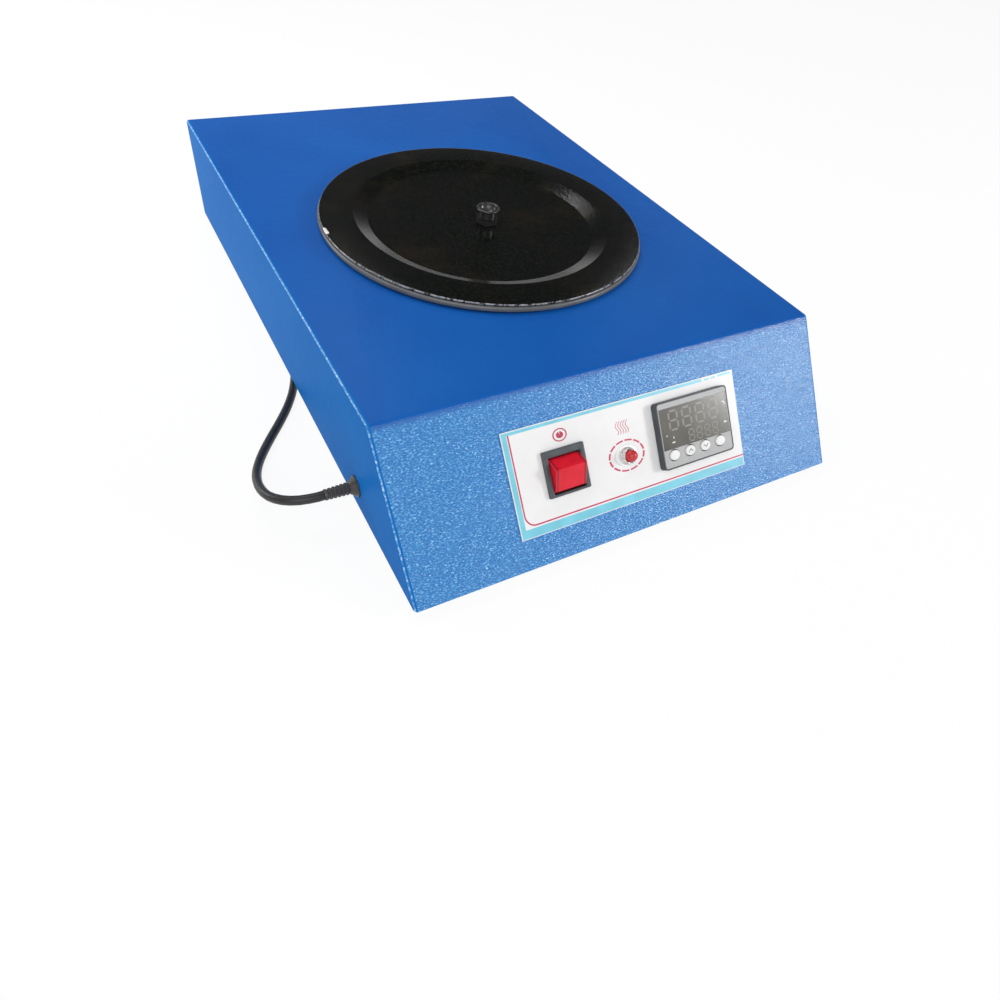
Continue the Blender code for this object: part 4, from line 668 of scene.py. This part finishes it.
def stroke(start, across, moves, ink):
    """A printed line: a short edge across the line, carried on by each move along it."""
    half = Vector((across[0] / 2, across[1] / 2, 0))
    middle = Vector((start[0], start[1], INK_FACE))
    edge = bm.edges.new((bm.verts.new(middle - half), bm.verts.new(middle + half)))
    for move in moves:
        pushed = bmesh.ops.extrude_edge_only(bm, edges=[edge])["geom"]
        edge = next(g for g in pushed if isinstance(g, bmesh.types.BMEdge))
        for face in pushed:
            if isinstance(face, bmesh.types.BMFace):
                face.material_index = ink
        bmesh.ops.translate(bm, verts=list(edge.verts), vec=(move[0], move[1], 0))


def hoop(spot, inner, outer, start, sweep, steps, ink, squeeze=1.0):
    """A printed ring or a stretch of one, turned about a spot on the label, with its angles in degrees."""
    first = math.radians(start)
    ends = [bm.verts.new((r * math.cos(first), r * math.sin(first), INK_FACE)) for r in (inner, outer)]
    edge = bm.edges.new(ends)
    before = set(bm.faces)
    turning = {"axis": (0, 0, 1), "angle": math.radians(sweep), "steps": steps}
    bmesh.ops.spin(bm, geom=ends + [edge], use_merge=sweep == 360, **turning)
    made = [f for f in bm.faces if f not in before]
    verts = list({v for f in made for v in f.verts})
    bmesh.ops.scale(bm, verts=verts, vec=(1, squeeze, 1))
    bmesh.ops.translate(bm, verts=verts, vec=(*spot, 0))
    for face in made:
        face.material_index = ink


LEFT = LABEL_SPOT[0] - LABEL_SIZE[0] / 2
RIGHT = LABEL_SPOT[0] + LABEL_SIZE[0] / 2
FOOT = LABEL_SPOT[1] - LABEL_SIZE[1] / 2
HEAD = LABEL_SPOT[1] + LABEL_SIZE[1] / 2
CYAN, RED, SHADOW_RING, DISC = range(4)
BLUE_STRIPS = (
    ((LEFT + 0.0006, FOOT + 0.0030), (0, 0.0052), (LABEL_SIZE[0] - 0.0012, 0)),
    ((LEFT + 0.0022, FOOT + 0.0056), (0.0032, 0), (0, LABEL_SIZE[1] - 0.0062)),
    ((LEFT + 0.0038, HEAD - 0.0015), (0, 0.0018), (LABEL_SIZE[0] - 0.030, 0)),
    ((RIGHT - 0.0240, HEAD - 0.0017), (0, 0.0012), (0.0040, 0)),
    ((RIGHT - 0.0185, HEAD - 0.0017), (0, 0.0012), (0.0035, 0)),
    ((RIGHT - 0.0130, HEAD - 0.0015), (0, 0.0014), (0.0110, 0)),
)
LINE = 0.0009
LINE_U, LINE_V, LINE_HEAD = 0.0783, 0.0257, HEAD - 0.0022
CORNER = 0.0070
RING_SPOT = (LAMP_SPOT[0], LAMP_SPOT[1] + 0.0004)
RING_SQUEEZE = 0.72
DASHES = 12
DASHED, DISC_BAND, SHADOW_BAND = (0.0123, 0.0137), (0.0066, 0.0087), (0.0087, 0.0091)
POWER_SPOT = (0.1118, 0.0729)
POWER_SQUEEZE = 0.78
POWER_RING, POWER_DOT = (0.0041, 0.0050), (0.0001, 0.0025)
HEAT_SPOT = (0.1558, 0.0665)
WAVES = 5
WAVE_FOOT, WAVE_TALL, WAVE_PITCH, WAVE_SWAY, WAVE_STEPS = -0.0038, 0.0080, 0.0019, 0.0009, 12

bm = bmesh.new()
for start, across, along in BLUE_STRIPS:
    stroke(start, across, [along], CYAN)
stroke((LINE_U, LINE_HEAD), (LINE, 0), [(0, LINE_V + CORNER - LINE_HEAD)], RED)
hoop((LINE_U + CORNER, LINE_V + CORNER), CORNER - LINE / 2, CORNER + LINE / 2, 180, 90, 12, RED)
stroke((LINE_U + CORNER, LINE_V), (0, LINE), [(RIGHT - 0.0003 - LINE_U - CORNER, 0)], RED)
for k in range(DASHES):
    hoop(RING_SPOT, *DASHED, 360 * k / DASHES + 5, 24.5, 4, RED, RING_SQUEEZE)
hoop(RING_SPOT, *DISC_BAND, 0, 360, 48, DISC, RING_SQUEEZE)
# The thin grey ring round the white disc is a painted shadow along its edge.
hoop(RING_SPOT, *SHADOW_BAND, 0, 360, 48, SHADOW_RING, RING_SQUEEZE)
hoop(POWER_SPOT, *POWER_RING, 0, 360, 40, RED, POWER_SQUEEZE)
hoop(POWER_SPOT, *POWER_DOT, 102, 344, 32, RED, POWER_SQUEEZE)
sway = [WAVE_SWAY * math.sin(math.tau * j / WAVE_STEPS * 1.15) for j in range(WAVE_STEPS + 1)]
for k in range(WAVES):
    start = (HEAT_SPOT[0] + WAVE_PITCH * (k - WAVES // 2), HEAT_SPOT[1] + WAVE_FOOT)
    stroke(start, (LINE / 2, 0), [(b - a, WAVE_TALL / WAVE_STEPS) for a, b in zip(sway, sway[1:])], RED)
lifted(bm, (0, 0, INK))
bm.transform(panel)
settle(made_of(bm, "label_marks", label_cyan, label_red, label_painted_shadow, label_disc), "root", "label_film")

# Rocker switch. A black moulded housing snapped through the panel, its flat frame standing a little
# proud, and a clear red rocker with a high ridge that tilts on its own pins in a deep well.
switch_black = grained("switch_plastic", (0.062, 0.074, 0.084), 0.36, 0.0005, 0.00003)
BEZEL_LOW, BEZEL_HIGH = 0.0011, 0.0033
BEZEL_SIZE = (0.0290, 0.0280)
BEZEL_RISE = 0.0013
BARREL = (0.0264, 0.0242)
BARREL_DEPTH = 0.0231
WELL = (0.0224, 0.0218)
WELL_DEPTH = 0.0065


def on_panel(bm, spot, n=0.0):
    """Moves a bmesh to a spot on the panel, and leans it back with the slope."""
    bmesh.ops.translate(bm, verts=bm.verts, vec=(*spot, n))
    bm.transform(panel)


def face_at(bm, way):
    """The face that looks furthest along a way, and lies furthest along it."""
    facing_it = [f for f in bm.faces if f.normal.dot(Vector(way)) > 0.99]
    return max(facing_it, key=lambda f: f.calc_center_median().dot(Vector(way)))


def step_in(bm, face, size, spot, depth):
    """Insets a face to a smaller rectangle, and pushes that rectangle along Z by depth."""
    bmesh.ops.inset_region(bm, faces=[face], thickness=0.0002, use_even_offset=True)
    for vert in face.verts:
        vert.co.x = spot[0] + math.copysign(size[0] / 2, vert.co.x - spot[0])
        vert.co.y = spot[1] + math.copysign(size[1] / 2, vert.co.y - spot[1])
    pushed = bmesh.ops.extrude_discrete_faces(bm, faces=[face])["faces"][0]
    bmesh.ops.translate(bm, verts=list(pushed.verts), vec=(0, 0, depth))


def soften(bm, edges, width, steps=3):
    """Rounds some edges of a moulding."""
    bmesh.ops.bevel(bm, geom=edges, offset=width, **(rounding | {"segments": steps}))
    bmesh.ops.recalc_face_normals(bm, faces=bm.faces)
    bm.normal_update()


def level_edges(bm, height):
    """The edges that lie at one height above the panel."""
    return [e for e in bm.edges if all(abs(v.co.z - height) < 0.00001 for v in e.verts)]


bezel_spot = (SWITCH_SPOT[0], SWITCH_SPOT[1] + BEZEL_RISE)
low_corner = oblong(BEZEL_SIZE, bezel_spot, BEZEL_LOW)[0]
high_corner = oblong(BEZEL_SIZE, bezel_spot, BEZEL_HIGH)[2]
bm = block(low_corner, high_corner)
bm.normal_update()
step_in(bm, face_at(bm, (0, 0, -1)), BARREL, SWITCH_SPOT, -BARREL_DEPTH)
bm.normal_update()
step_in(bm, face_at(bm, (0, 0, 1)), WELL, SWITCH_SPOT, -WELL_DEPTH - BEZEL_HIGH)
bm.normal_update()
outermost = [e for e in bm.edges if abs(e.verts[0].co.x - bezel_spot[0]) > 0.0140]
uprights = [e for e in outermost if abs(e.verts[0].co.z - e.verts[1].co.z) > 0.0015]
soften(bm, level_edges(bm, BEZEL_HIGH) + uprights, 0.0007)
bm.transform(panel)
switch = made_of(bm, "switch_housing", switch_black)
even_faces(switch)
settle(switch, "root", "switch_plastic", "switch_body")

rocker_red = finish_of("red_lens_plastic", 0.20, specular=0.32)
depth_mottle = noise_on(rocker_red, 0.006, 2)
tone = shades(rocker_red, depth_mottle, (0.3, (0.64, 0.008, 0.026)), (0.7, (0.76, 0.014, 0.034)))
feed(rocker_red, tone, "Base Color")
rocker_shader = rocker_red.node_tree.nodes["Principled BSDF"]
rocker_shader.inputs["Subsurface Weight"].default_value = 0.25
rocker_shader.inputs["Subsurface Radius"].default_value = (0.004, 0.0006, 0.0004)
rocker_shader.inputs["Subsurface Scale"].default_value = 0.5
relief(rocker_red, (noise_on(rocker_red, 0.003, 1), 0.00003))
ROCKER_HALF = 0.0109
HIGH_END, LOW_END = 0.0106, 0.0103
BROW, RIDGE = (0.0099, 0.0024), (0.0040, 0.0094)
EDGE_SHADE_IN, EDGE_SHADE_OUT = 0.0092, 0.0100
PIVOT_N = -0.0005
outline = rounded((0, 0), HIGH_END, -18.7, 0, 4) + [BROW, RIDGE]
outline += rounded((0, 0), LOW_END, 155.9, 180, 4)
bm = bmesh.new()
loop_of(bm, [(-ROCKER_HALF, a, b) for a, b in outline])
bmesh.ops.contextual_create(bm, geom=bm.edges[:])
lifted(bm, (2 * ROCKER_HALF, 0, 0))
shown = [e for e in bm.edges if max(v.co.z for v in e.verts) > 0.001 and e.calc_face_angle() > 0.35]
soften(bm, shown, 0.00055)
# A dark strip just inside each side edge of the rocker: painted shade along its rounded edges.
for shade_cut in (-EDGE_SHADE_OUT, -EDGE_SHADE_IN, EDGE_SHADE_IN, EDGE_SHADE_OUT):
    cut_across(bm, shade_cut)
for face in bm.faces:
    if EDGE_SHADE_IN < abs(face.calc_center_median().x) < EDGE_SHADE_OUT:
        face.material_index = 1
on_panel(bm, SWITCH_SPOT, PIVOT_N)
# Dark red for that strip: painted shade.
edge_shade_red = grained("rocker_painted_edge_shade", (0.12, 0.006, 0.014), 0.3, 0.002, 0.00001)
rocker = made_of(bm, "red_rocker", rocker_red, edge_shade_red)
even_faces(rocker)
settle(rocker, "rocker", "red_lens_plastic", "switch_rocker")

# Heating lamp. A chromed brass ring with a turned-down neck screwed through the panel, and a domed red
# lens pressed into it.
# The chrome's colour is mottled strongly at random, to paint dark and bright reflections into the plating.
chrome = grained("chrome", (0.60, 0.58, 0.56), 0.15, 0.0003, 0.0000005, metallic=1.0, mottle=0.32)
LAMP_TUBE, LAMP_BACK = 0.0040, -0.016
LENS_RADIUS, LENS_FOOT = 0.0038, 0.0025
profile = [(0, LAMP_BACK), (LAMP_TUBE - 0.0002, LAMP_BACK), (LAMP_TUBE, LAMP_BACK + 0.0002)]
profile += [(LAMP_TUBE, BEZEL_LOW), (0.0052, BEZEL_LOW)]
profile += rounded((0.0050, 0.0015), 0.0004, 0, 90, 4) + [(0.0049, 0.0021), (0.0047, 0.0025)]
profile += rounded((0.0044, 0.0044), 0.0003, 0, 90, 4) + [(0.0041, 0.0046), (0.0041, 0.0022), (0, 0.0022)]
bm = turned(profile, 56)
on_panel(bm, LAMP_SPOT)
settle(made_of(bm, "lamp_ring", chrome), "root", "chrome", "lamp_bezel")
lens_red = finish_of("lamp_lens_red", 0.30, specular=0.5)
tone = noise_on(lens_red, 0.002, 2)
tone = shades(lens_red, tone, (0.3, (0.50, 0.020, 0.030)), (0.7, (0.62, 0.035, 0.045)))
feed(lens_red, tone, "Base Color")
relief(lens_red, (noise_on(lens_red, 0.0008, 1), 0.00006))
profile = [(0, LENS_FOOT), (LENS_RADIUS, LENS_FOOT), (LENS_RADIUS, 0.0050)]
profile += rounded((0, 0.0051), LENS_RADIUS, 8, 90, 10)[:-1] + [(0, 0.0051 + LENS_RADIUS)]
bm = turned(profile, 48)
on_panel(bm, LAMP_SPOT)
settle(made_of(bm, "lamp_dome", lens_red), "root", "red_lens_plastic", "lamp_lens")

# Temperature controller. A 58 by 43 mm instrument held in the panel by its own clamp: a dark moulded
# case, a grey face film, a smoked window over two rows of unlit figures, and four white keys.
case_grey = grained("controller_plastic", (0.050, 0.060, 0.068), 0.42, 0.0005, 0.00003)
face_film = grained("controller_face_film", (0.42, 0.425, 0.43), 0.46, 0.0007, 0.00002, mottle=0.04)
CASE_SIZE = (0.0576, 0.0426)
CASE_FRONT = 0.0058
BOX_SIZE = (0.0520, 0.0390)
BOX_LOW, BOX_HIGH = -0.026, 0.0030
FACE_SIZE = (0.0558, 0.0408)
SEAT_SIZE = (FACE_SIZE[0] + 0.0005, FACE_SIZE[1] + 0.0005)
FACE_LOW, FACE_FILM = CASE_FRONT - 0.0016, 0.0015
WINDOW_SIZE = (0.0548, 0.0259)
WINDOW_SPOT = (CASE_SPOT[0], CASE_SPOT[1] + 0.00405)
WINDOW_FACE, PANE = CASE_FRONT - 0.0002, 0.0012
KEY_SIZE = (0.0078, 0.0064)
KEY_HOLE = (KEY_SIZE[0] + 0.0012, KEY_SIZE[1] + 0.0012)
KEY_TOP = CASE_FRONT + 0.0008
KEY_UP = -0.0129
KEYS = {"button_set": -0.0201, "button_up": -0.0074, "button_down": 0.0052, "button_enter": 0.0179}


def eased_oblong(size, spot, cut, n):
    """The outline of a rectangle with rounded corners."""
    made = []
    for a, b, first in ((1, 1, 0), (-1, 1, 90), (-1, -1, 180), (1, -1, 270)):
        centre = (spot[0] + a * (size[0] / 2 - cut), spot[1] + b * (size[1] / 2 - cut))
        made += [(*p, n) for p in rounded(centre, cut, first, first + 90, 5)]
    return made


case_rim = eased_oblong(CASE_SIZE, CASE_SPOT, 0.0024, BEZEL_LOW)
seat = eased_oblong(SEAT_SIZE, CASE_SPOT, 0.0019, BEZEL_LOW)
bm = plate(case_rim, [seat], CASE_FRONT - BEZEL_LOW)
soften(bm, level_edges(bm, CASE_FRONT), 0.00018, 2)
bm.transform(panel)
settle(made_of(bm, "controller_bezel", case_grey), "root", "controller_plastic", "controller_case")

bm = plate(oblong(BOX_SIZE, CASE_SPOT, BOX_LOW), [], BOX_HIGH - BOX_LOW)
bmesh.ops.delete(bm, geom=[face_at(bm, (0, 0, 1))], context="FACES")
bm.transform(panel)
settle(made_of(bm, "controller_box", case_grey), "root", "controller_plastic")

key_spots = {name: (CASE_SPOT[0] + along, CASE_SPOT[1] + KEY_UP) for name, along in KEYS.items()}
holes = [oblong(WINDOW_SIZE, WINDOW_SPOT, FACE_LOW)]
holes += [oval(KEY_HOLE, spot, 36, FACE_LOW) for spot in key_spots.values()]
bm = plate(eased_oblong(FACE_SIZE, CASE_SPOT, 0.0017, FACE_LOW), holes, FACE_FILM)
bm.transform(panel)
settle(made_of(bm, "controller_front", face_film), "root", "controller_face_film", "controller_face")

smoked = finish_of("tinted_window", 0.20, specular=0.5)
haze = noise_on(smoked, 0.012, 2)
feed(smoked, shades(smoked, haze, (0.3, (0.074, 0.072, 0.063)), (0.7, (0.112, 0.106, 0.088))), "Base Color")
figure_grey = grained("unlit_figures", (0.195, 0.185, 0.155), 0.30, 0.002, 0.00001, mottle=0.15)
mark_white = grained("window_marks", (0.72, 0.72, 0.72), 0.35, 0.001, 0.00001)
pane = oblong((WINDOW_SIZE[0] - 0.0002, WINDOW_SIZE[1] - 0.0002), WINDOW_SPOT, WINDOW_FACE - PANE)
bm = plate(pane, [], PANE)
BARS = ((0, 1, 1), (-1, 0.5, 0), (1, 0.5, 0), (0, 0, 1), (-1, -0.5, 0), (1, -0.5, 0), (0, -1, 1))


def flat_mark(points, spot, n, ink):
    """A flat mark about a spot, a hair above the surface at height n and facing away from it."""
    loop = loop_of(bm, [(spot[0] + a, spot[1] + b, n + INK) for a, b in points])
    for face in bmesh.ops.contextual_create(bm, geom=loop)["faces"]:
        face.material_index = ink
        if face.normal.z < 0:
            face.normal_flip()


def window_bar(spot, size, ink):
    """A thin bar printed on the window, with its two long ends pointed."""
    tip, nib = max(size) / 2, min(size) / 2
    points = [(-tip, 0), (nib - tip, -nib), (tip - nib, -nib)]
    points += [(-a, -b) for a, b in points]
    if size[0] <= size[1]:
        points = [(b, a) for a, b in points]
    flat_mark(points, (WINDOW_SPOT[0] + spot[0], WINDOW_SPOT[1] + spot[1]), WINDOW_FACE, ink)


def figure(spot, width, height, breadth, ink):
    """One seven-bar figure with all of its bars unlit."""
    for a, b, flat in BARS:
        centre = (spot[0] + a * width / 2, spot[1] + b * height / 2)
        size = (width - breadth, breadth) if flat else (breadth, height / 2 - breadth)
        window_bar(centre, size, ink)


FIGURES, MARKS = 1, 2
for k in range(4):
    figure((-0.0168 + 0.0108 * k, 0.0046), 0.0066, 0.0118, 0.0012, FIGURES)
    figure((-0.0042 + 0.0066 * k, -0.0078), 0.0040, 0.0072, 0.0008, FIGURES)
WINDOW_MARKS = (
    ((-0.0236, -0.0040), (0.0013, 0.0012)),
    ((0.0245, 0.0070), (0.0022, 0.0007)),
    ((0.0256, 0.0060), (0.0007, 0.0022)),
    ((0.0245, -0.0060), (0.0026, 0.0011)),
    ((-0.0190, -0.0090), (0.0028, 0.0008)),
    ((-0.0185, -0.0060), (0.0008, 0.0016)),
)
for spot, size in WINDOW_MARKS:
    window_bar(spot, size, MARKS)
bm.transform(panel)
window = made_of(bm, "smoked_window", smoked, figure_grey, mark_white)
settle(window, "root", "tinted_window", "display_window")

key_white = grained("key_silicone", (0.80, 0.80, 0.79), 0.48, 0.0006, 0.00003, mottle=0.04)
key_grey = grained("key_print", (0.24, 0.24, 0.25), 0.5, 0.0006, 0.00001)
CHEVRONS = {"button_up": 1, "button_down": -1}
key_profile = [(0, 0.0012), (1, 0.0012), (1, KEY_TOP - 0.0005)]
key_profile += [(0.985, KEY_TOP - 0.0003), (0.94, KEY_TOP - 0.00012), (0.85, KEY_TOP - 0.00003)]
key_profile += [(0.6, KEY_TOP), (0, KEY_TOP)]
for name, spot in key_spots.items():
    bm = turned(key_profile, 48)
    bmesh.ops.scale(bm, verts=bm.verts, vec=(KEY_SIZE[0] / 2, KEY_SIZE[1] / 2, 1))
    if name in CHEVRONS:
        way = CHEVRONS[name]
        for side in (-1, 1):
            arm = [(0, 0.0013), (0, 0.0004), (side * 0.0016, -0.0012), (side * 0.0020, -0.0007)]
            flat_mark([(a, b * way) for a, b in arm], (0, 0), KEY_TOP, 1)
    on_panel(bm, spot)
    settle(made_of(bm, name + "_cap", key_white, key_grey), name, "key_silicone", name)

# Basin. A spun aluminium bowl with a dark non-stick coat, hung in the top of the housing by its out-turned
# rim, which ends in a rolled bead. A stud welded under its floor holds the heater.
basin_grey = grained("dark_aluminium", (0.115, 0.118, 0.118), 0.36, 0.0008, 0.00004, specular=0.6)
BOWL_RADIUS, BOWL_CORNER, BOWL_WALL = 0.100, 0.008, 0.0012
RIM_LOW, RIM_TOP, RIM_RADIUS = 0.0876, 0.0888, 0.1195
MOUTH, BEAD, BEAD_TOP = 0.0016, 0.0015, 0.0905
FLOOR = 0.0468
STUD_RADIUS, STUD_FOOT = 0.004, 0.0319
corner = (BOWL_RADIUS - BOWL_CORNER, FLOOR + BOWL_CORNER)
profile = [(0, FLOOR)] + rounded(corner, BOWL_CORNER, -90, 0, 8)
profile += rounded((BOWL_RADIUS + MOUTH, RIM_TOP - MOUTH), MOUTH, 180, 90, 4)
profile += [(RIM_RADIUS - BEAD * 2, RIM_TOP)]
profile += rounded((RIM_RADIUS - BEAD, BEAD_TOP - BEAD), BEAD, 180, 0, 8)
profile += [(RIM_RADIUS, RIM_LOW + 0.0003), (RIM_RADIUS - 0.0003, RIM_LOW)]
profile += [(BOWL_RADIUS + BOWL_WALL, RIM_LOW)] + rounded(corner, BOWL_CORNER + BOWL_WALL, 0, -90, 8)
profile += [(STUD_RADIUS, FLOOR - BOWL_WALL), (STUD_RADIUS, STUD_FOOT), (0, STUD_FOOT)]
bm = turned(profile, 160)
bmesh.ops.translate(bm, verts=bm.verts, vec=BATH)
settle(made_of(bm, "basin_bowl", basin_grey), "root", "dark_aluminium", "bath_basin")

# Lid. A pressed steel dish under a black crinkle enamel, lifted off by its knob. Its flange lies on the
# rim's bead, and the enamel is rubbed and chipped along the outer edge.
LID_TOP, LID_FLOOR, LID_RADIUS = 0.0923, 0.0878, 0.1183
LID_SHEET = 0.0015
FLOOR_RADIUS, FLANGE_RADIUS = 0.0832, 0.0946
LID_BEND = 0.0016
GREENISH_REFLECTION, NEUTRAL, BROWN_REFLECTION = (0.0006, 0.0024, 0.0018), (0.0014, 0.0024, 0.0016), (0.012, 0.008, 0.004)
CREST_GLINT, BARE_STEEL, CHIPPED = (0.010, 0.010, 0.008), (0.34, 0.34, 0.36), (0.90, 0.86, 0.82)
CHIP_SPOT = (-0.1172, 0.0160, LID_TOP)
lid_black = finish_of("black_crinkle_paint", 0.20, specular=0.50)
crinkle = noise_on(lid_black, 0.0022, 2, 0.5)
reflection_patches = noise_on(lid_black, 0.035, 4)
where = wire(lid_black, "ShaderNodeTexCoord").outputs["Object"]
apart = reckon_way(lid_black, "DISTANCE", where, (BATH.x, BATH.y, LID_TOP), output="Value")
at_rim = risen(lid_black, apart, LID_RADIUS - 0.0008, LID_RADIUS - 0.0003)
rubbed = reckon(lid_black, "MULTIPLY", at_rim, noise_on(lid_black, 0.0028, 5, 0.5))
rubbed = risen(lid_black, rubbed, 0.38, 0.52)
from_chip = reckon_way(lid_black, "SUBTRACT", where, CHIP_SPOT)
from_chip = reckon_way(lid_black, "MULTIPLY", from_chip, (1.0, 0.30, 0.5))
from_chip = reckon_way(lid_black, "LENGTH", from_chip, output="Value")
struck = risen(lid_black, reckon(lid_black, "MULTIPLY_ADD", crinkle, 0.0012, from_chip), 0.0022, 0.0019)
# The greenish and brownish patches are painted reflections in the enamel, and the paler crinkle crests are
# painted glints. The rubbed rim and the chip are wear.
tone = shades(lid_black, reflection_patches, (0.3, GREENISH_REFLECTION), (0.55, NEUTRAL), (0.75, BROWN_REFLECTION))
tone = painted(lid_black, risen(lid_black, crinkle, 0.49, 0.68), tone, CREST_GLINT)
tone = painted(lid_black, rubbed, tone, BARE_STEEL)
feed(lid_black, painted(lid_black, struck, tone, CHIPPED), "Base Color")
feed(lid_black, span(lid_black, reflection_patches, 0.13, 0.21), "Roughness")
relief(lid_black, (crinkle, 0.00009), (noise_on(lid_black, 0.0005, 1), 0.000008))
profile = [(0, LID_FLOOR), (FLOOR_RADIUS, LID_FLOOR)]
profile += rounded((FLOOR_RADIUS, LID_FLOOR + LID_BEND), LID_BEND, -90, -68, 3)
profile += rounded((FLANGE_RADIUS, LID_TOP - LID_BEND), LID_BEND, 112, 90, 3)
profile += [(LID_RADIUS - 0.0011, LID_TOP)]
profile += rounded((LID_RADIUS - LID_SHEET / 2, LID_TOP - LID_SHEET / 2), LID_SHEET / 2, 80, -90, 8)
profile += [(FLANGE_RADIUS + 0.0004, LID_TOP - LID_SHEET), (FLOOR_RADIUS + 0.0008, LID_FLOOR - LID_SHEET)]
profile += [(0, LID_FLOOR - LID_SHEET)]
bm = turned(profile, 192)
bmesh.ops.translate(bm, verts=bm.verts, vec=BATH)
settle(made_of(bm, "lid_dish", lid_black, sharp=30), "lid", "black_crinkle_paint", "bath_lid")

# Knob. A small metal turning, painted black and hollowed at its top. Its stud goes through the middle of
# the lid, with a thin nut on the sheet and a locknut below.
KNOB_SPOT = Vector((0.0037, 0.0054, 0))
KNOB_STUD, KNOB_STUD_FOOT = 0.0025, 0.0820
KNOB_NECK, KNOB_FOOT = 0.0067, 0.0914
KNOB_LIP = 0.00085
KNOB_HOLLOW = 0.0933
knob_black = grained("knob_black", (0.016, 0.016, 0.016), 0.24, 0.0006, 0.00002, specular=0.6)
profile = [(0, KNOB_STUD_FOOT), (KNOB_STUD, KNOB_STUD_FOOT), (KNOB_STUD, KNOB_FOOT)]
profile += [(KNOB_NECK - 0.0002, KNOB_FOOT), (KNOB_NECK, KNOB_FOOT + 0.0002), (KNOB_NECK, 0.0960)]
profile += rounded((KNOB_NECK + 0.0004, 0.0964), 0.0004, 180, 150, 2) + [(0.0084, 0.0978)]
profile += rounded((0.00765, 0.09783), KNOB_LIP, 0, 180, 8)
profile += [(0.0062, 0.0960), (0.0040, 0.0937), (0.0028, KNOB_HOLLOW), (0, KNOB_HOLLOW)]
bm = turned(profile, 64)
bmesh.ops.translate(bm, verts=bm.verts, vec=KNOB_SPOT)
settle(made_of(bm, "turned_knob", knob_black), "lid", "black_crinkle_paint", "lid_knob")

# Everything that keeps its CAD shape: the feet, screws and base plate, and all that hides inside the
# housing. Each gets the finish of what it is made of.
zinc = grained("zinc_sheet", (0.52, 0.53, 0.55), 0.34, 0.006, 0.00003, metallic=0.9)
steel = grained("bright_steel", (0.60, 0.60, 0.60), 0.26, 0.002, 0.00002, metallic=1.0)
silicone = grained("grey_silicone", (0.20, 0.20, 0.20), 0.6, 0.001, 0.00004)
mica = grained("mica", (0.36, 0.31, 0.24), 0.5, 0.003, 0.0001, mottle=0.25)
wool = grained("glass_wool", (0.72, 0.66, 0.42), 0.9, 0.002, 0.0008, specular=0.2, mottle=0.2)
digit_dark = grained("digit_block", (0.16, 0.15, 0.13), 0.5, 0.001, 0.00002)
board_green = grained("circuit_board", (0.02, 0.14, 0.06), 0.4, 0.0015, 0.00004)
terminal_green = grained("terminal_plastic", (0.03, 0.22, 0.09), 0.42, 0.0008, 0.00003)
cream = grained("cream_phenolic", (0.66, 0.60, 0.45), 0.4, 0.001, 0.00002)
wire_red = grained("red_wire", (0.45, 0.02, 0.02), 0.4, 0.0008, 0.00002)
sleeving = grained("white_sleeving", (0.70, 0.70, 0.68), 0.7, 0.0006, 0.0001)
SCREWS = ("base_screw_1", "base_screw_2", "base_screw_3", "base_screw_4", "sensor_saddle_screw")
KEPT = {
    zinc: ("base_plate", "sensor_saddle", "basin_bracket_1", "basin_bracket_2", "basin_bracket_3"),
    steel: (*SCREWS, "heater_clamp_plate", "heater_nut", "sensor_probe", "lamp_nut"),
    sleeve_rubber: ("foot_1", "foot_2", "foot_3", "foot_4"),
    basin_grey: ("thermal_cutout",),
    knob_black: ("lid_knob_nut", "lid_knob_locknut"),
    silicone: ("rim_gasket",),
    mica: ("heater_plate",),
    wool: ("insulation_pad",),
    digit_dark: ("display_digits",),
    board_green: ("controller_board",),
    terminal_green: ("controller_terminals",),
    case_grey: ("controller_clamp",),
    cream: ("terminal_strip",),
    brass: ("earth_stud", "earth_nut"),
    cord_pvc: ("inner_cord",),
    wire_red: ("switch_lead", "controller_lead"),
    sleeving: ("heater_lead", "sensor_lead"),
}
for finish, names in KEPT.items():
    for name in names:
        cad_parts[name].data.materials[0] = finish
